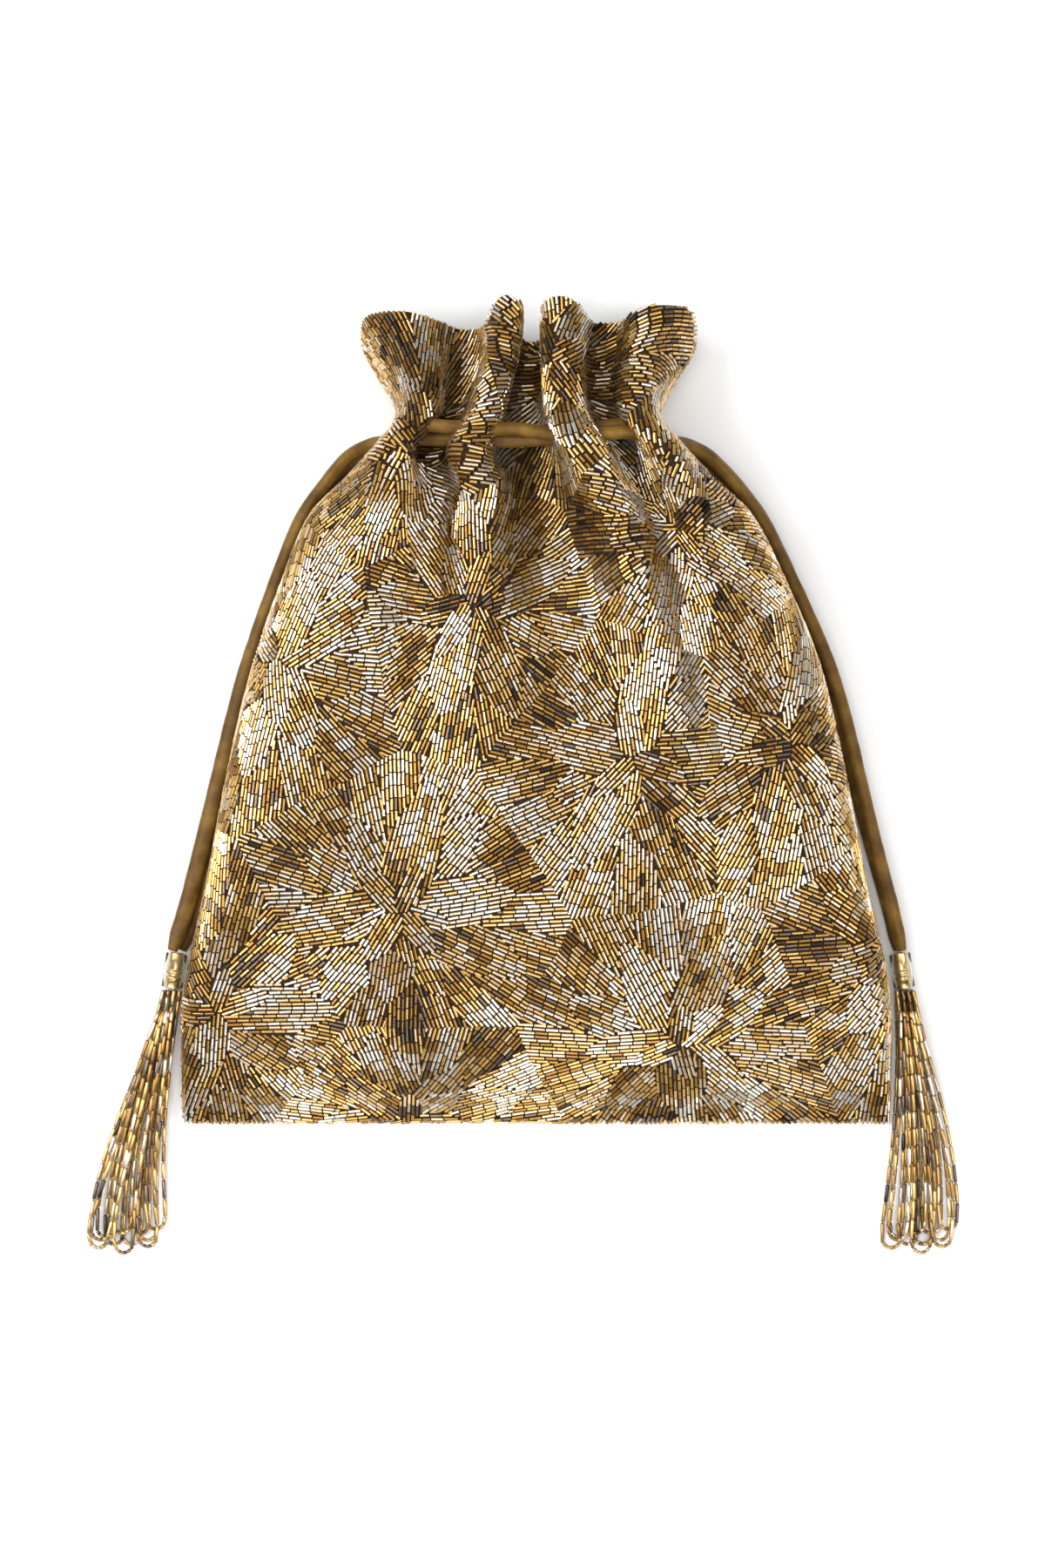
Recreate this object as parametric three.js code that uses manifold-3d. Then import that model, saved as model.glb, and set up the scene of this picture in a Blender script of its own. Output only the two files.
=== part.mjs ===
// Potli bag: a gathered drawstring pouch of beaded cloth, lying on its back.
// Millimetres, +Z up, +Y towards the ruffle. The origin is under the middle of the bag.
import * as THREE from "three";
import { mergeVertices } from "three/addons/utils/BufferGeometryUtils.js";
import Module from "manifold-3d";

const wasm = await Module();
wasm.setup();

// Cloth and seams
const CLOTH_WALL = 1.6; // beaded cloth with its backing
const SEAM_GAP = 0.3; // between the two panels where they are sewn together
const SEAM_ARC = 1.8; // the tight round of the cloth at the base corners

// Heights above the base seam
const BAG_HEIGHT = 241; // up to the hem at the side seams
const CURL_RISE = 12; // the cloth curls up from the base seam to here
const FOOT_RISE = 0.1245 * BAG_HEIGHT; // the sides run straight up to here
const HIP_RISE = 0.307 * BAG_HEIGHT;
const WAIST_RISE = 0.5685 * BAG_HEIGHT;
const SHOULDER_RISE = 0.7012 * BAG_HEIGHT;
const SLOPE_RISE = 0.776 * BAG_HEIGHT;
const THROAT_RISE = 0.834 * BAG_HEIGHT;
const CORD_RISE = 0.8755 * BAG_HEIGHT; // the drawstring line
const NECK_RISE = 0.9087 * BAG_HEIGHT; // the narrowest gather
const FLARE_RISE = 0.9585 * BAG_HEIGHT;

// Widths of the bag at those heights, over the beads
const BASE_WIDTH = 220;
const HIP_WIDTH = 204;
const WAIST_WIDTH = 177.5;
const SHOULDER_WIDTH = 154;
const SLOPE_WIDTH = 137;
const THROAT_WIDTH = 109;
const NECK_WIDTH = 82;
const FLARE_WIDTH = 94;
const HEM_WIDTH = 103.5;
const NECK_LEAN = -2.3; // the gathered neck lies a little to the left of the base

// The hem of the front panel over the side seams: the crest or dip of each fold, left to right
const LEFT_CREST = 7.8;
const LEFT_DIP = 3;
const MIDDLE_LEFT_CREST = 12.4;
const MIDDLE_DIP = -0.5;
const MIDDLE_RIGHT_CREST = 12;
const RIGHT_DIP = 5;
const RIGHT_CREST = 9.7;
const BACK_HEM_DROP = 1.5; // the back hem lies lower than the side seams

// Side rounds: the length of cloth that climbs from the side seam to the panel's face
const FRONT_CURL_ARC = 9;
const FRONT_HIP_ARC = 27;
const FRONT_WAIST_ARC = 33;
const FRONT_SLOPE_ARC = 27;
const FRONT_CORD_ARC = 20;
const FRONT_HEM_ARC = 17;
const BACK_CURL_ARC = 6;
const BACK_HIP_ARC = 19;
const BACK_WAIST_ARC = 22;
const BACK_SLOPE_ARC = 15;
const BACK_CORD_ARC = 8;
const BACK_HEM_ARC = 7;

// Drawstrings
const CORD_DIAMETER = 4.2;
const CORD_GAP = 0.3; // between two strands, and under the lowest one
const SLIT_CLEARANCE = 0.35; // around a cord where it goes through the cloth
const FRONT_CORD_HEIGHT = 0.67; // as a share of the front folds' height at the cord line
const BACK_CORD_HEIGHT = 0.45; // as a share of the side seams' height at the cord line
const CORD_SIDES = 8;
const CORD_STEPS = 68;
const SLIT_SIDES = 6;

// Tassels: a brass collar in a clear sleeve, over loops of strung beads
const TASSEL_RISE = 52.6; // the collar's top
const LEFT_TASSEL_OUT = 1.6; // from the bag's side to the collar's axis
const RIGHT_TASSEL_OUT = 2.8;
const COLLAR_GAP = 0.6; // between the cord's ends and the collar
const COLLAR_LENGTH = 11.3;
const COLLAR_RADIUS = 2.3;
const COLLAR_CHAMFER = 0.3;
const BAND_HEIGHT = 0.22; // how far the two ring bands stand out
const SLEEVE_WALL = 0.45;
const SLEEVE_CLEARANCE = 0.3;
const SLEEVE_INSET = 0.4; // the sleeve is a little shorter than the collar at each end
const STRAND_DIAMETER = 1.4;
const STRAND_GAP = 0.3;
const STRAND_DROP = 80.5; // from the collar to the longest loop's bottom
const LOOP_WIDTH = 3.6;
const LOOP_ROUND = 1.2; // how much longer than round a loop's bottom is
const LAYER_SHORTER = [0, 3.4, 1.4, 5]; // how much less each layer of loops hangs down
const LOOP_SHORTER = 1.2; // how much less the second loop of a layer hangs down
const LOOPS_PER_LAYER = 2;
const TURNED_SIDES = 12;
const STRAND_SIDES = 6;
const LEG_STEPS = 6;
const LOOP_STEPS = 4;

// Lining
const LINING_WALL = 0.7;
const LINING_CLEARANCE = 0.4;
const LINING_TOP_RISE = 0.7303 * BAG_HEIGHT;
const LINING_BASE_RISE = 6;
const LINING_LIP = 1; // how far the cut for the lining's mouth runs past its top
const LINING_SQUARE = 0.9; // 1 is a round section, less is squarer
const RING_COLUMNS = 9;
const LINING_ROWS = 6;

const FRONT_HEM = [
  LEFT_CREST,
  LEFT_DIP,
  MIDDLE_LEFT_CREST,
  MIDDLE_DIP,
  MIDDLE_RIGHT_CREST,
  RIGHT_DIP,
  RIGHT_CREST,
].map((over) => BAG_HEIGHT + over);
const BASE_Y = -Math.max(...FRONT_HEM) / 2;

// A smooth function through [place, value] stations that never overshoots them.
function throughStations(stations) {
  const last = stations.length - 1;
  const steep = (i) =>
    (stations[i + 1][1] - stations[i][1]) / (stations[i + 1][0] - stations[i][0]);
  const tangents = stations.map((_, i) => {
    if (i === 0 || i === last) return 0;
    const before = steep(i - 1);
    const after = steep(i);
    return before * after <= 0 ? 0 : (2 * before * after) / (before + after);
  });
  return (place) => {
    const at = THREE.MathUtils.clamp(place, stations[0][0], stations[last][0]);
    let i = 0;
    while (i < last - 1 && at > stations[i + 1][0]) i += 1;
    const span = stations[i + 1][0] - stations[i][0];
    const u = (at - stations[i][0]) / span;
    const v = 1 - u;
    return (
      stations[i][1] * v * v * (1 + 2 * u) +
      stations[i + 1][1] * u * u * (1 + 2 * v) +
      span * u * v * (tangents[i] * v - tangents[i + 1] * u)
    );
  };
}

// The bag's outline over the beads, as a width for each height.
const outerWidth = throughStations([
  [0, BASE_WIDTH],
  [FOOT_RISE, BASE_WIDTH],
  [HIP_RISE, HIP_WIDTH],
  [WAIST_RISE, WAIST_WIDTH],
  [SHOULDER_RISE, SHOULDER_WIDTH],
  [SLOPE_RISE, SLOPE_WIDTH],
  [THROAT_RISE, THROAT_WIDTH],
  [NECK_RISE, NECK_WIDTH],
  [FLARE_RISE, FLARE_WIDTH],
  [BAG_HEIGHT, HEM_WIDTH],
]);
const lean = throughStations([
  [0, 0],
  [WAIST_RISE, 0],
  [CORD_RISE, NECK_LEAN],
  [BAG_HEIGHT, NECK_LEAN],
]);

// Fold plans
// A panel has seven folds across, ridges and valleys in turn. At each height a plan says what
// share of the cloth each fold takes, and how steep the cloth stands, in radians, at the folds'
// eight borders. More slope draws the cloth in and makes the fold deeper.
const FRONT_FOLDS = [
  {
    rise: 0,
    shares: [0.15, 0.14, 0.14, 0.2, 0.14, 0.12, 0.11],
    slopes: [0, 0, 0, 0, 0, 0, 0, 0],
  },
  {
    rise: HIP_RISE,
    shares: [0.15, 0.14, 0.15, 0.24, 0.12, 0.1, 0.1],
    slopes: [0.02, 0.08, 0.1, 0.08, 0.12, 0.16, 0.08, 0.04],
  },
  {
    rise: WAIST_RISE,
    shares: [0.16, 0.14, 0.158, 0.26, 0.11, 0.09, 0.082],
    slopes: [0.1, 0.2, 0.26, 0.26, 0.42, 0.5, 0.25, 0.12],
  },
  {
    rise: SLOPE_RISE,
    shares: [0.15, 0.13, 0.14, 0.23, 0.16, 0.1, 0.09],
    slopes: [0.5, 0.8, 0.95, 0.9, 0.9, 1.1, 0.85, 0.5],
  },
  {
    rise: CORD_RISE,
    shares: [0.13, 0.114, 0.137, 0.203, 0.162, 0.127, 0.127],
    slopes: [1.5, 1.55, 1.55, 1.5, 1.5, 1.55, 1.5, 1.5],
  },
  {
    rise: NECK_RISE,
    shares: [0.13, 0.12, 0.14, 0.185, 0.165, 0.13, 0.13],
    slopes: [1.4, 1.45, 1.5, 1.6, 1.6, 1.5, 1.45, 1.4],
  },
  {
    rise: BAG_HEIGHT,
    shares: [0.138, 0.13, 0.152, 0.138, 0.17, 0.14, 0.132],
    slopes: [0.7, 0.75, 1.15, 1.75, 1.75, 1.1, 1.05, 0.85],
  },
];
const EVEN_SHARES = Array(7).fill(1 / 7);
const backFold = (rise, slope) => ({
  rise,
  shares: EVEN_SHARES,
  slopes: Array(8).fill(slope),
});
const BACK_FOLDS = [
  backFold(0, 0),
  backFold(WAIST_RISE, 0),
  backFold(SLOPE_RISE, 0.45),
  backFold(CORD_RISE, 1.35),
  backFold(NECK_RISE, 1.3),
  backFold(BAG_HEIGHT, 1.05),
];

const frontSide = throughStations([
  [0, SEAM_ARC],
  [CURL_RISE, FRONT_CURL_ARC],
  [HIP_RISE, FRONT_HIP_ARC],
  [WAIST_RISE, FRONT_WAIST_ARC],
  [SLOPE_RISE, FRONT_SLOPE_ARC],
  [CORD_RISE, FRONT_CORD_ARC],
  [BAG_HEIGHT, FRONT_HEM_ARC],
]);
const backSide = throughStations([
  [0, SEAM_ARC],
  [CURL_RISE, BACK_CURL_ARC],
  [HIP_RISE, BACK_HIP_ARC],
  [WAIST_RISE, BACK_WAIST_ARC],
  [SLOPE_RISE, BACK_SLOPE_ARC],
  [CORD_RISE, BACK_CORD_ARC],
  [BAG_HEIGHT, BACK_HEM_ARC],
]);
const frontCrown = throughStations([
  [0, 0.01],
  [FOOT_RISE, 0.1],
  [WAIST_RISE, 0.12],
  [CORD_RISE, 0],
  [BAG_HEIGHT, 0],
]);

const FRONT = {
  side: frontSide,
  crown: frontCrown,
  up: 1,
  foldSteps: 5,
  hem: throughStations([
    [0, BAG_HEIGHT],
    ...FRONT_HEM.map((rise, fold) => [fold + 0.5, rise]),
    [FRONT_HEM.length, BAG_HEIGHT],
  ]),
};
const BACK = {
  side: backSide,
  crown: () => 0,
  up: -1,
  foldSteps: 3,
  hem: throughStations([
    [0, BAG_HEIGHT],
    [1, BAG_HEIGHT - BACK_HEM_DROP],
    [6, BAG_HEIGHT - BACK_HEM_DROP],
    [7, BAG_HEIGHT],
  ]),
};
const SIDE_STEPS = 3;
const SUB_STEPS = 8; // finer steps between two columns of the mesh, for the sums

// Fills in the plan of folds for any height.
function foldPlan(stations) {
  const along = (list, i) => throughStations(stations.map((s) => [s.rise, s[list][i]]));
  const shares = EVEN_SHARES.map((_, i) => along("shares", i));
  const slopes = stations[0].slopes.map((_, i) => along("slopes", i));
  return (rise) => {
    const raw = shares.map((share) => share(rise));
    const total = raw.reduce((sum, share) => sum + share, 0);
    return {
      shares: raw.map((share) => share / total),
      slopes: slopes.map((slope) => slope(rise)),
    };
  };
}

// The columns of a panel's mesh: left side, folds, right side.
function columnsOf(foldSteps) {
  const columns = [];
  for (let k = 0; k < SIDE_STEPS; k += 1) columns.push({ zone: -1, u: k / SIDE_STEPS });
  for (let fold = 0; fold < 7; fold += 1)
    for (let k = 0; k < foldSteps; k += 1) columns.push({ zone: fold, u: k / foldSteps });
  for (let k = 0; k <= SIDE_STEPS; k += 1) columns.push({ zone: 7, u: k / SIDE_STEPS });
  return columns;
}

// The path of the cloth across the bag at one height, from seam to seam. Its direction turns
// from straight up at the left seam, through the folds, to straight down at the right seam, and
// the cloth's length follows from the width that it has to span.
function section(panel, plan, rise, width) {
  const { shares, slopes } = plan(rise);
  const crown = panel.crown(rise);
  const side = panel.side(rise);
  const starts = shares.map((_, i) => shares.slice(0, i).reduce((sum, s) => sum + s, 0));
  const turn = ({ zone, u }) => {
    const ease = u * u * (3 - 2 * u);
    if (zone < 0) return THREE.MathUtils.lerp(Math.PI / 2, slopes[0] + crown, ease);
    if (zone > 6) return THREE.MathUtils.lerp(-slopes[7] - crown, -Math.PI / 2, ease);
    const steepness = THREE.MathUtils.lerp(slopes[zone], slopes[zone + 1], u);
    const wave = (zone % 2 ? -1 : 1) * steepness * Math.cos(Math.PI * u);
    return wave + crown * Math.cos(Math.PI * (starts[zone] + u * shares[zone]));
  };
  const columns = columnsOf(panel.foldSteps);
  const steps = [];
  columns.slice(1).forEach((to, i) => {
    const from = columns[i];
    const end = to.zone === from.zone ? to.u : 1;
    for (let k = 0; k < SUB_STEPS; k += 1) {
      const u = from.u + ((end - from.u) * (k + 0.5)) / SUB_STEPS;
      const inFold = from.zone >= 0 && from.zone < 7;
      const part = (end - from.u) / SUB_STEPS;
      steps.push({
        angle: turn({ zone: from.zone, u }),
        sideLength: inFold ? 0 : side * part,
        foldShare: inFold ? shares[from.zone] * part : 0,
      });
    }
  });
  const sum = (pick) => steps.reduce((total, step) => total + pick(step), 0);
  const sideSpan = sum((step) => step.sideLength * Math.cos(step.angle));
  const foldSpan = sum((step) => step.foldShare * Math.cos(step.angle));
  const cloth = (width - sideSpan) / foldSpan;
  const points = [{ x: -width / 2, z: 0, arc: 0 }];
  let { x, z, arc } = points[0];
  steps.forEach((step, i) => {
    const length = step.sideLength + step.foldShare * cloth;
    x += length * Math.cos(step.angle);
    z += length * Math.sin(step.angle);
    arc += length;
    if ((i + 1) % SUB_STEPS === 0) points.push({ x, z, arc });
  });
  const drift = z / arc;
  return points.map((p, i) => ({
    x: p.x,
    z: p.z - drift * p.arc,
    fold: THREE.MathUtils.clamp(columns[i].zone + (columns[i].zone < 0 ? 0 : columns[i].u), 0, 7),
  }));
}

// Heights of the mesh rows
const zone = (from, to, count) =>
  Array.from({ length: count }, (_, i) => from + ((to - from) * i) / count);
const ROWS = [
  ...zone(0, CURL_RISE, 2),
  ...zone(CURL_RISE, WAIST_RISE, 5),
  ...zone(WAIST_RISE, THROAT_RISE, 6),
  ...zone(THROAT_RISE, NECK_RISE, 4),
  ...zone(NECK_RISE, BAG_HEIGHT, 4),
  BAG_HEIGHT,
];

const frontPlan = foldPlan(FRONT_FOLDS);
const backPlan = foldPlan(BACK_FOLDS);
const clothWidth = (rise) => outerWidth(rise) - CLOTH_WALL;

// The side seams' height over the surface that the bag lies on: the back panel's lowest fold
// rests on it.
function seamHeight(rise) {
  const back = section(BACK, backPlan, rise, clothWidth(rise));
  return CLOTH_WALL / 2 + SEAM_GAP / 2 + Math.max(...back.map((p) => p.z));
}

// The grid of points in the middle of a panel's cloth, a row for each height.
function panelGrid(panel, plan) {
  return ROWS.map((rise) => {
    const seam = seamHeight(rise);
    const loose = Math.max(0, (rise - NECK_RISE) / (BAG_HEIGHT - NECK_RISE));
    return section(panel, plan, rise, clothWidth(rise)).map((p) => {
      const hemmed = NECK_RISE + loose * (panel.hem(p.fold) - NECK_RISE);
      return new THREE.Vector3(
        lean(rise) + p.x,
        BASE_Y + (loose > 0 ? hemmed : rise),
        seam + panel.up * (SEAM_GAP / 2 + p.z),
      );
    });
  });
}

// Closes a grid of points into a sheet of cloth of even thickness.
function clothSolid(grid, wall, up, floor) {
  const rows = grid.length;
  const cols = grid[0].length;
  const at = (r, c) =>
    grid[THREE.MathUtils.clamp(r, 0, rows - 1)][THREE.MathUtils.clamp(c, 0, cols - 1)];
  const positions = [];
  for (const face of [1, -1])
    for (let r = 0; r < rows; r += 1)
      for (let c = 0; c < cols; c += 1) {
        const across = at(r, c + 1).clone().sub(at(r, c - 1));
        const along = at(r + 1, c).clone().sub(at(r - 1, c));
        const normal = across.cross(along);
        if (c === 0 || c === cols - 1) normal.z = 0;
        if (r === 0) normal.y = 0;
        normal.normalize().multiplyScalar((up * face * wall) / 2);
        const p = at(r, c).clone().add(normal);
        positions.push(p.x, p.y, Math.max(p.z, floor));
      }
  const outer = (r, c) => r * cols + c;
  const inner = (r, c) => rows * cols + r * cols + c;
  const index = [];
  const quad = (a, b, c, d) => {
    if (up > 0) index.push(a, b, c, a, c, d);
    else index.push(a, c, b, a, d, c);
  };
  for (let r = 0; r < rows - 1; r += 1)
    for (let c = 0; c < cols - 1; c += 1) {
      quad(outer(r, c), outer(r, c + 1), outer(r + 1, c + 1), outer(r + 1, c));
      quad(inner(r, c), inner(r + 1, c), inner(r + 1, c + 1), inner(r, c + 1));
    }
  for (let c = 0; c < cols - 1; c += 1) {
    quad(inner(0, c), inner(0, c + 1), outer(0, c + 1), outer(0, c));
    quad(outer(rows - 1, c), outer(rows - 1, c + 1), inner(rows - 1, c + 1), inner(rows - 1, c));
  }
  for (let r = 0; r < rows - 1; r += 1) {
    quad(outer(r, 0), outer(r + 1, 0), inner(r + 1, 0), inner(r, 0));
    quad(inner(r, cols - 1), inner(r + 1, cols - 1), outer(r + 1, cols - 1), outer(r, cols - 1));
  }
  const geometry = new THREE.BufferGeometry();
  geometry.setAttribute("position", new THREE.Float32BufferAttribute(positions, 3));
  geometry.setIndex(index);
  return geometry;
}

// Solids for joining and cutting
function solidOf(geometry) {
  const bare = geometry.clone();
  bare.deleteAttribute("normal");
  bare.deleteAttribute("uv");
  const merged = mergeVertices(bare, 1e-4);
  return new wasm.Manifold(
    new wasm.Mesh({
      numProp: 3,
      vertProperties: merged.attributes.position.array,
      triVerts: new Uint32Array(merged.index.array),
    }),
  );
}

function geometryOf(solid) {
  const mesh = solid.getMesh();
  const geometry = new THREE.BufferGeometry();
  geometry.setAttribute("position", new THREE.BufferAttribute(mesh.vertProperties, 3));
  geometry.setIndex(new THREE.BufferAttribute(mesh.triVerts, 1));
  return geometry;
}

function tube(curve, radius, sides, steps) {
  const ring = Array.from({ length: sides }, (_, i) => {
    const angle = (2 * Math.PI * (i + 0.5)) / sides;
    return new THREE.Vector2(radius * Math.cos(angle), radius * Math.sin(angle));
  });
  return new THREE.ExtrudeGeometry(new THREE.Shape(ring), {
    steps,
    extrudePath: curve,
    bevelEnabled: false,
  });
}

// Drawstring routes
// Each drawstring is a loop: up the side from its tassel, into the neck, across the front folds,
// round inside the far side of the neck, back across the back folds and down to the tassel. In
// the neck the two loops cross, one over the other.
const CORD_PITCH = CORD_DIAMETER + CORD_GAP;
const REST_Z = CORD_DIAMETER / 2 + CORD_GAP;
const TASSEL_Z = REST_Z + 0.4 * CORD_PITCH; // a collar lies midway between its cord's two ends
const neckSeam = seamHeight(CORD_RISE);
const neckFolds = section(FRONT, frontPlan, CORD_RISE, clothWidth(CORD_RISE));
const FRONT_CORD_Z = neckSeam + FRONT_CORD_HEIGHT * Math.max(...neckFolds.map((p) => p.z));
const BACK_CORD_Z = BACK_CORD_HEIGHT * neckSeam;
const TASSEL_SIDE = Math.max(BASE_WIDTH, outerWidth(TASSEL_RISE)) / 2;

// Outside the bag a point is [share of the cord line's rise, millimetres out from the bag's
// edge, height in strands]. In the neck it is [share of half the neck's width, millimetres above
// the cord line, share of the way from the strand at the back to the strand in front].
const LEFT_ROUTE = {
  side: -1,
  tassel: new THREE.Vector3(-TASSEL_SIDE - LEFT_TASSEL_OUT, BASE_Y + TASSEL_RISE, TASSEL_Z),
  front: FRONT_CORD_Z - CORD_PITCH / 2,
  back: BACK_CORD_Z + CORD_PITCH / 2,
  ends: [
    [1.3, 0.82],
    [-1.4, 0],
  ],
  upper: [
    [0.294, 5.2, 0.78],
    [0.33, 4.7, 0.76],
    [0.39, 4, 0.73],
    [0.463, 3.1, 0.73],
    [0.532, 2.4, 0.84],
    [0.596, 2.1, 0.96],
    [0.657, 2, 0.98],
    [0.724, 2, 1],
    [0.783, 2.2, 1.02],
    [0.841, 2.2, 1.07],
    [0.892, 2.7, 1.24],
    [0.937, 5.5, 1.56],
  ],
  neck: [
    [-1.24, -5.1, 0.127],
    [-1.088, -1.9, 0.329],
    [-0.964, -1.3, 0.591],
    [-0.87, -1, 0.818],
    [-0.768, -1.1, 0.97],
    [-0.639, -1.3, 1.012],
    [-0.349, -1.6, 1.012],
    [-0.038, -1.6, 1.012],
    [0.207, -0.6, 1.012],
    [0.407, 1.9, 1.008],
    [0.608, 3.3, 0.996],
    [0.708, 3.5, 0.928],
    [0.786, 3.7, 0.768],
    [0.812, 3.7, 0.527],
    [0.79, 3.7, 0.262],
    [0.714, 3.3, 0.076],
    [0.585, 2.6, 0.009],
    [0.318, 1.5, 0],
    [0.051, -0.3, 0],
    [-0.216, -1.4, 0],
    [-0.572, -1.5, -0.004],
    [-0.75, -1.4, -0.042],
    [-0.906, -1.7, -0.101],
  ],
  lower: [
    [0.982, -0.3, 0.53],
    [0.964, 2.8, 0.27],
    [0.93, 3.1, 0.11],
    [0.89, 1.2, 0.02],
    [0.84, 0.2, 0],
    [0.782, -0.2, 0],
    [0.724, -0.7, 0],
    [0.657, -1, 0],
    [0.596, -1.1, 0],
    [0.532, -0.7, 0],
    [0.463, -0.2, 0],
    [0.39, 0.6, 0],
    [0.33, 1.4, 0],
    [0.293, 2.3, 0],
  ],
};
const RIGHT_ROUTE = {
  side: 1,
  tassel: new THREE.Vector3(TASSEL_SIDE + RIGHT_TASSEL_OUT, BASE_Y + TASSEL_RISE, TASSEL_Z),
  front: FRONT_CORD_Z + CORD_PITCH / 2,
  back: BACK_CORD_Z - CORD_PITCH / 2,
  ends: [
    [0.5, 0.98],
    [-0.3, 0],
  ],
  upper: [
    [0.316, 6.7, 0.98],
    [0.382, 5.9, 1],
    [0.456, 5, 1],
    [0.564, 4.3, 1.02],
    [0.662, 3.5, 1.04],
    [0.757, 2.9, 1.07],
    [0.836, 2.7, 1.11],
    [0.893, 3.3, 1.29],
    [0.948, 6.5, 1.6],
  ],
  neck: [
    [1.222, -4.5, 0.236],
    [1.088, -1.9, 0.376],
    [0.975, -1.3, 0.581],
    [0.888, -0.3, 0.795],
    [0.799, 0.2, 0.939],
    [0.674, 0.5, 1.003],
    [0.452, 0.1, 1.009],
    [0.207, -0.5, 1.012],
    [-0.038, 1.4, 1.009],
    [-0.305, 1.7, 1.009],
    [-0.572, 2.3, 1.006],
    [-0.714, 3.1, 0.951],
    [-0.799, 3.7, 0.81],
    [-0.826, 3.9, 0.596],
    [-0.826, 3.9, 0.382],
    [-0.794, 3.6, 0.162],
    [-0.697, 3.1, 0.04],
    [-0.55, 2.5, 0.003],
    [-0.216, 1.9, 0],
    [0.051, 0.7, 0],
    [0.318, -0.9, 0],
    [0.63, -1.1, 0],
    [0.808, -1.1, -0.003],
    [0.941, -1.7, -0.009],
  ],
  lower: [
    [0.983, 0.3, 0.31],
    [0.964, 2.6, 0.22],
    [0.93, 3, 0.11],
    [0.89, 1.3, 0.02],
    [0.838, 0.7, 0.02],
    [0.757, 1.1, 0.04],
    [0.662, 1.6, 0.02],
    [0.564, 2.5, 0],
    [0.456, 3.5, 0],
    [0.382, 4.7, 0],
    [0.316, 5.7, 0],
  ],
};

function routeCurve(route) {
  const beside = ([share, out, level]) => {
    const rise = share * CORD_RISE;
    return new THREE.Vector3(
      lean(rise) + route.side * (outerWidth(rise) / 2 + out),
      BASE_Y + rise,
      REST_Z + level * CORD_PITCH,
    );
  };
  const within = ([across, lift, share]) =>
    new THREE.Vector3(
      NECK_LEAN + (across * outerWidth(CORD_RISE)) / 2,
      BASE_Y + CORD_RISE + lift,
      THREE.MathUtils.lerp(route.back, route.front, share),
    );
  const end = ([out, level]) =>
    new THREE.Vector3(
      route.tassel.x + route.side * out,
      route.tassel.y + COLLAR_GAP,
      REST_Z + level * CORD_PITCH,
    );
  const points = [
    end(route.ends[0]),
    ...route.upper.map(beside),
    ...route.neck.map(within),
    ...route.lower.map(beside),
    end(route.ends[1]),
  ];
  return new THREE.CatmullRomCurve3(points, false, "centripetal");
}

// Tassels
const LEFT_TASSEL = {
  top: LEFT_ROUTE.tassel,
  turn: THREE.MathUtils.degToRad(-8),
  spread: [-23.2, -5], // the middles of the outermost loops, from the collar's end
  bend: -2,
};
const RIGHT_TASSEL = {
  top: RIGHT_ROUTE.tassel,
  turn: THREE.MathUtils.degToRad(8),
  spread: [-4, 13.4],
  bend: 2,
};

// Places along a collar, as shares of its length: the two ring bands and the groove between them
const BANDS = {
  start: 0.48,
  firstTop: 0.5,
  firstEnd: 0.57,
  groove: 0.62,
  secondTop: 0.67,
  secondEnd: 0.73,
  end: 0.76,
};
const COLLAR_PROFILE = [
  [0, 0],
  [COLLAR_RADIUS - COLLAR_CHAMFER, 0],
  [COLLAR_RADIUS, -COLLAR_CHAMFER],
  [COLLAR_RADIUS, -BANDS.start * COLLAR_LENGTH],
  [COLLAR_RADIUS + BAND_HEIGHT, -BANDS.firstTop * COLLAR_LENGTH],
  [COLLAR_RADIUS + BAND_HEIGHT, -BANDS.firstEnd * COLLAR_LENGTH],
  [COLLAR_RADIUS - BAND_HEIGHT, -BANDS.groove * COLLAR_LENGTH],
  [COLLAR_RADIUS + BAND_HEIGHT, -BANDS.secondTop * COLLAR_LENGTH],
  [COLLAR_RADIUS + BAND_HEIGHT, -BANDS.secondEnd * COLLAR_LENGTH],
  [COLLAR_RADIUS, -BANDS.end * COLLAR_LENGTH],
  [COLLAR_RADIUS, COLLAR_CHAMFER - COLLAR_LENGTH],
  [COLLAR_RADIUS - COLLAR_CHAMFER, -COLLAR_LENGTH],
  [0, -COLLAR_LENGTH],
];
const SLEEVE_BORE = COLLAR_RADIUS + BAND_HEIGHT + SLEEVE_CLEARANCE;
const SLEEVE_RADIUS = SLEEVE_BORE + SLEEVE_WALL;
const SLEEVE_PROFILE = [
  [SLEEVE_BORE, -SLEEVE_INSET],
  [SLEEVE_RADIUS, -SLEEVE_INSET],
  [SLEEVE_RADIUS, SLEEVE_INSET - COLLAR_LENGTH],
  [SLEEVE_BORE, SLEEVE_INSET - COLLAR_LENGTH],
  [SLEEVE_BORE, -SLEEVE_INSET],
];

function turned(profile) {
  const points = profile.map(([radius, along]) => new THREE.Vector2(radius, along));
  return new THREE.LatheGeometry(points.reverse(), TURNED_SIDES);
}

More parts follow.
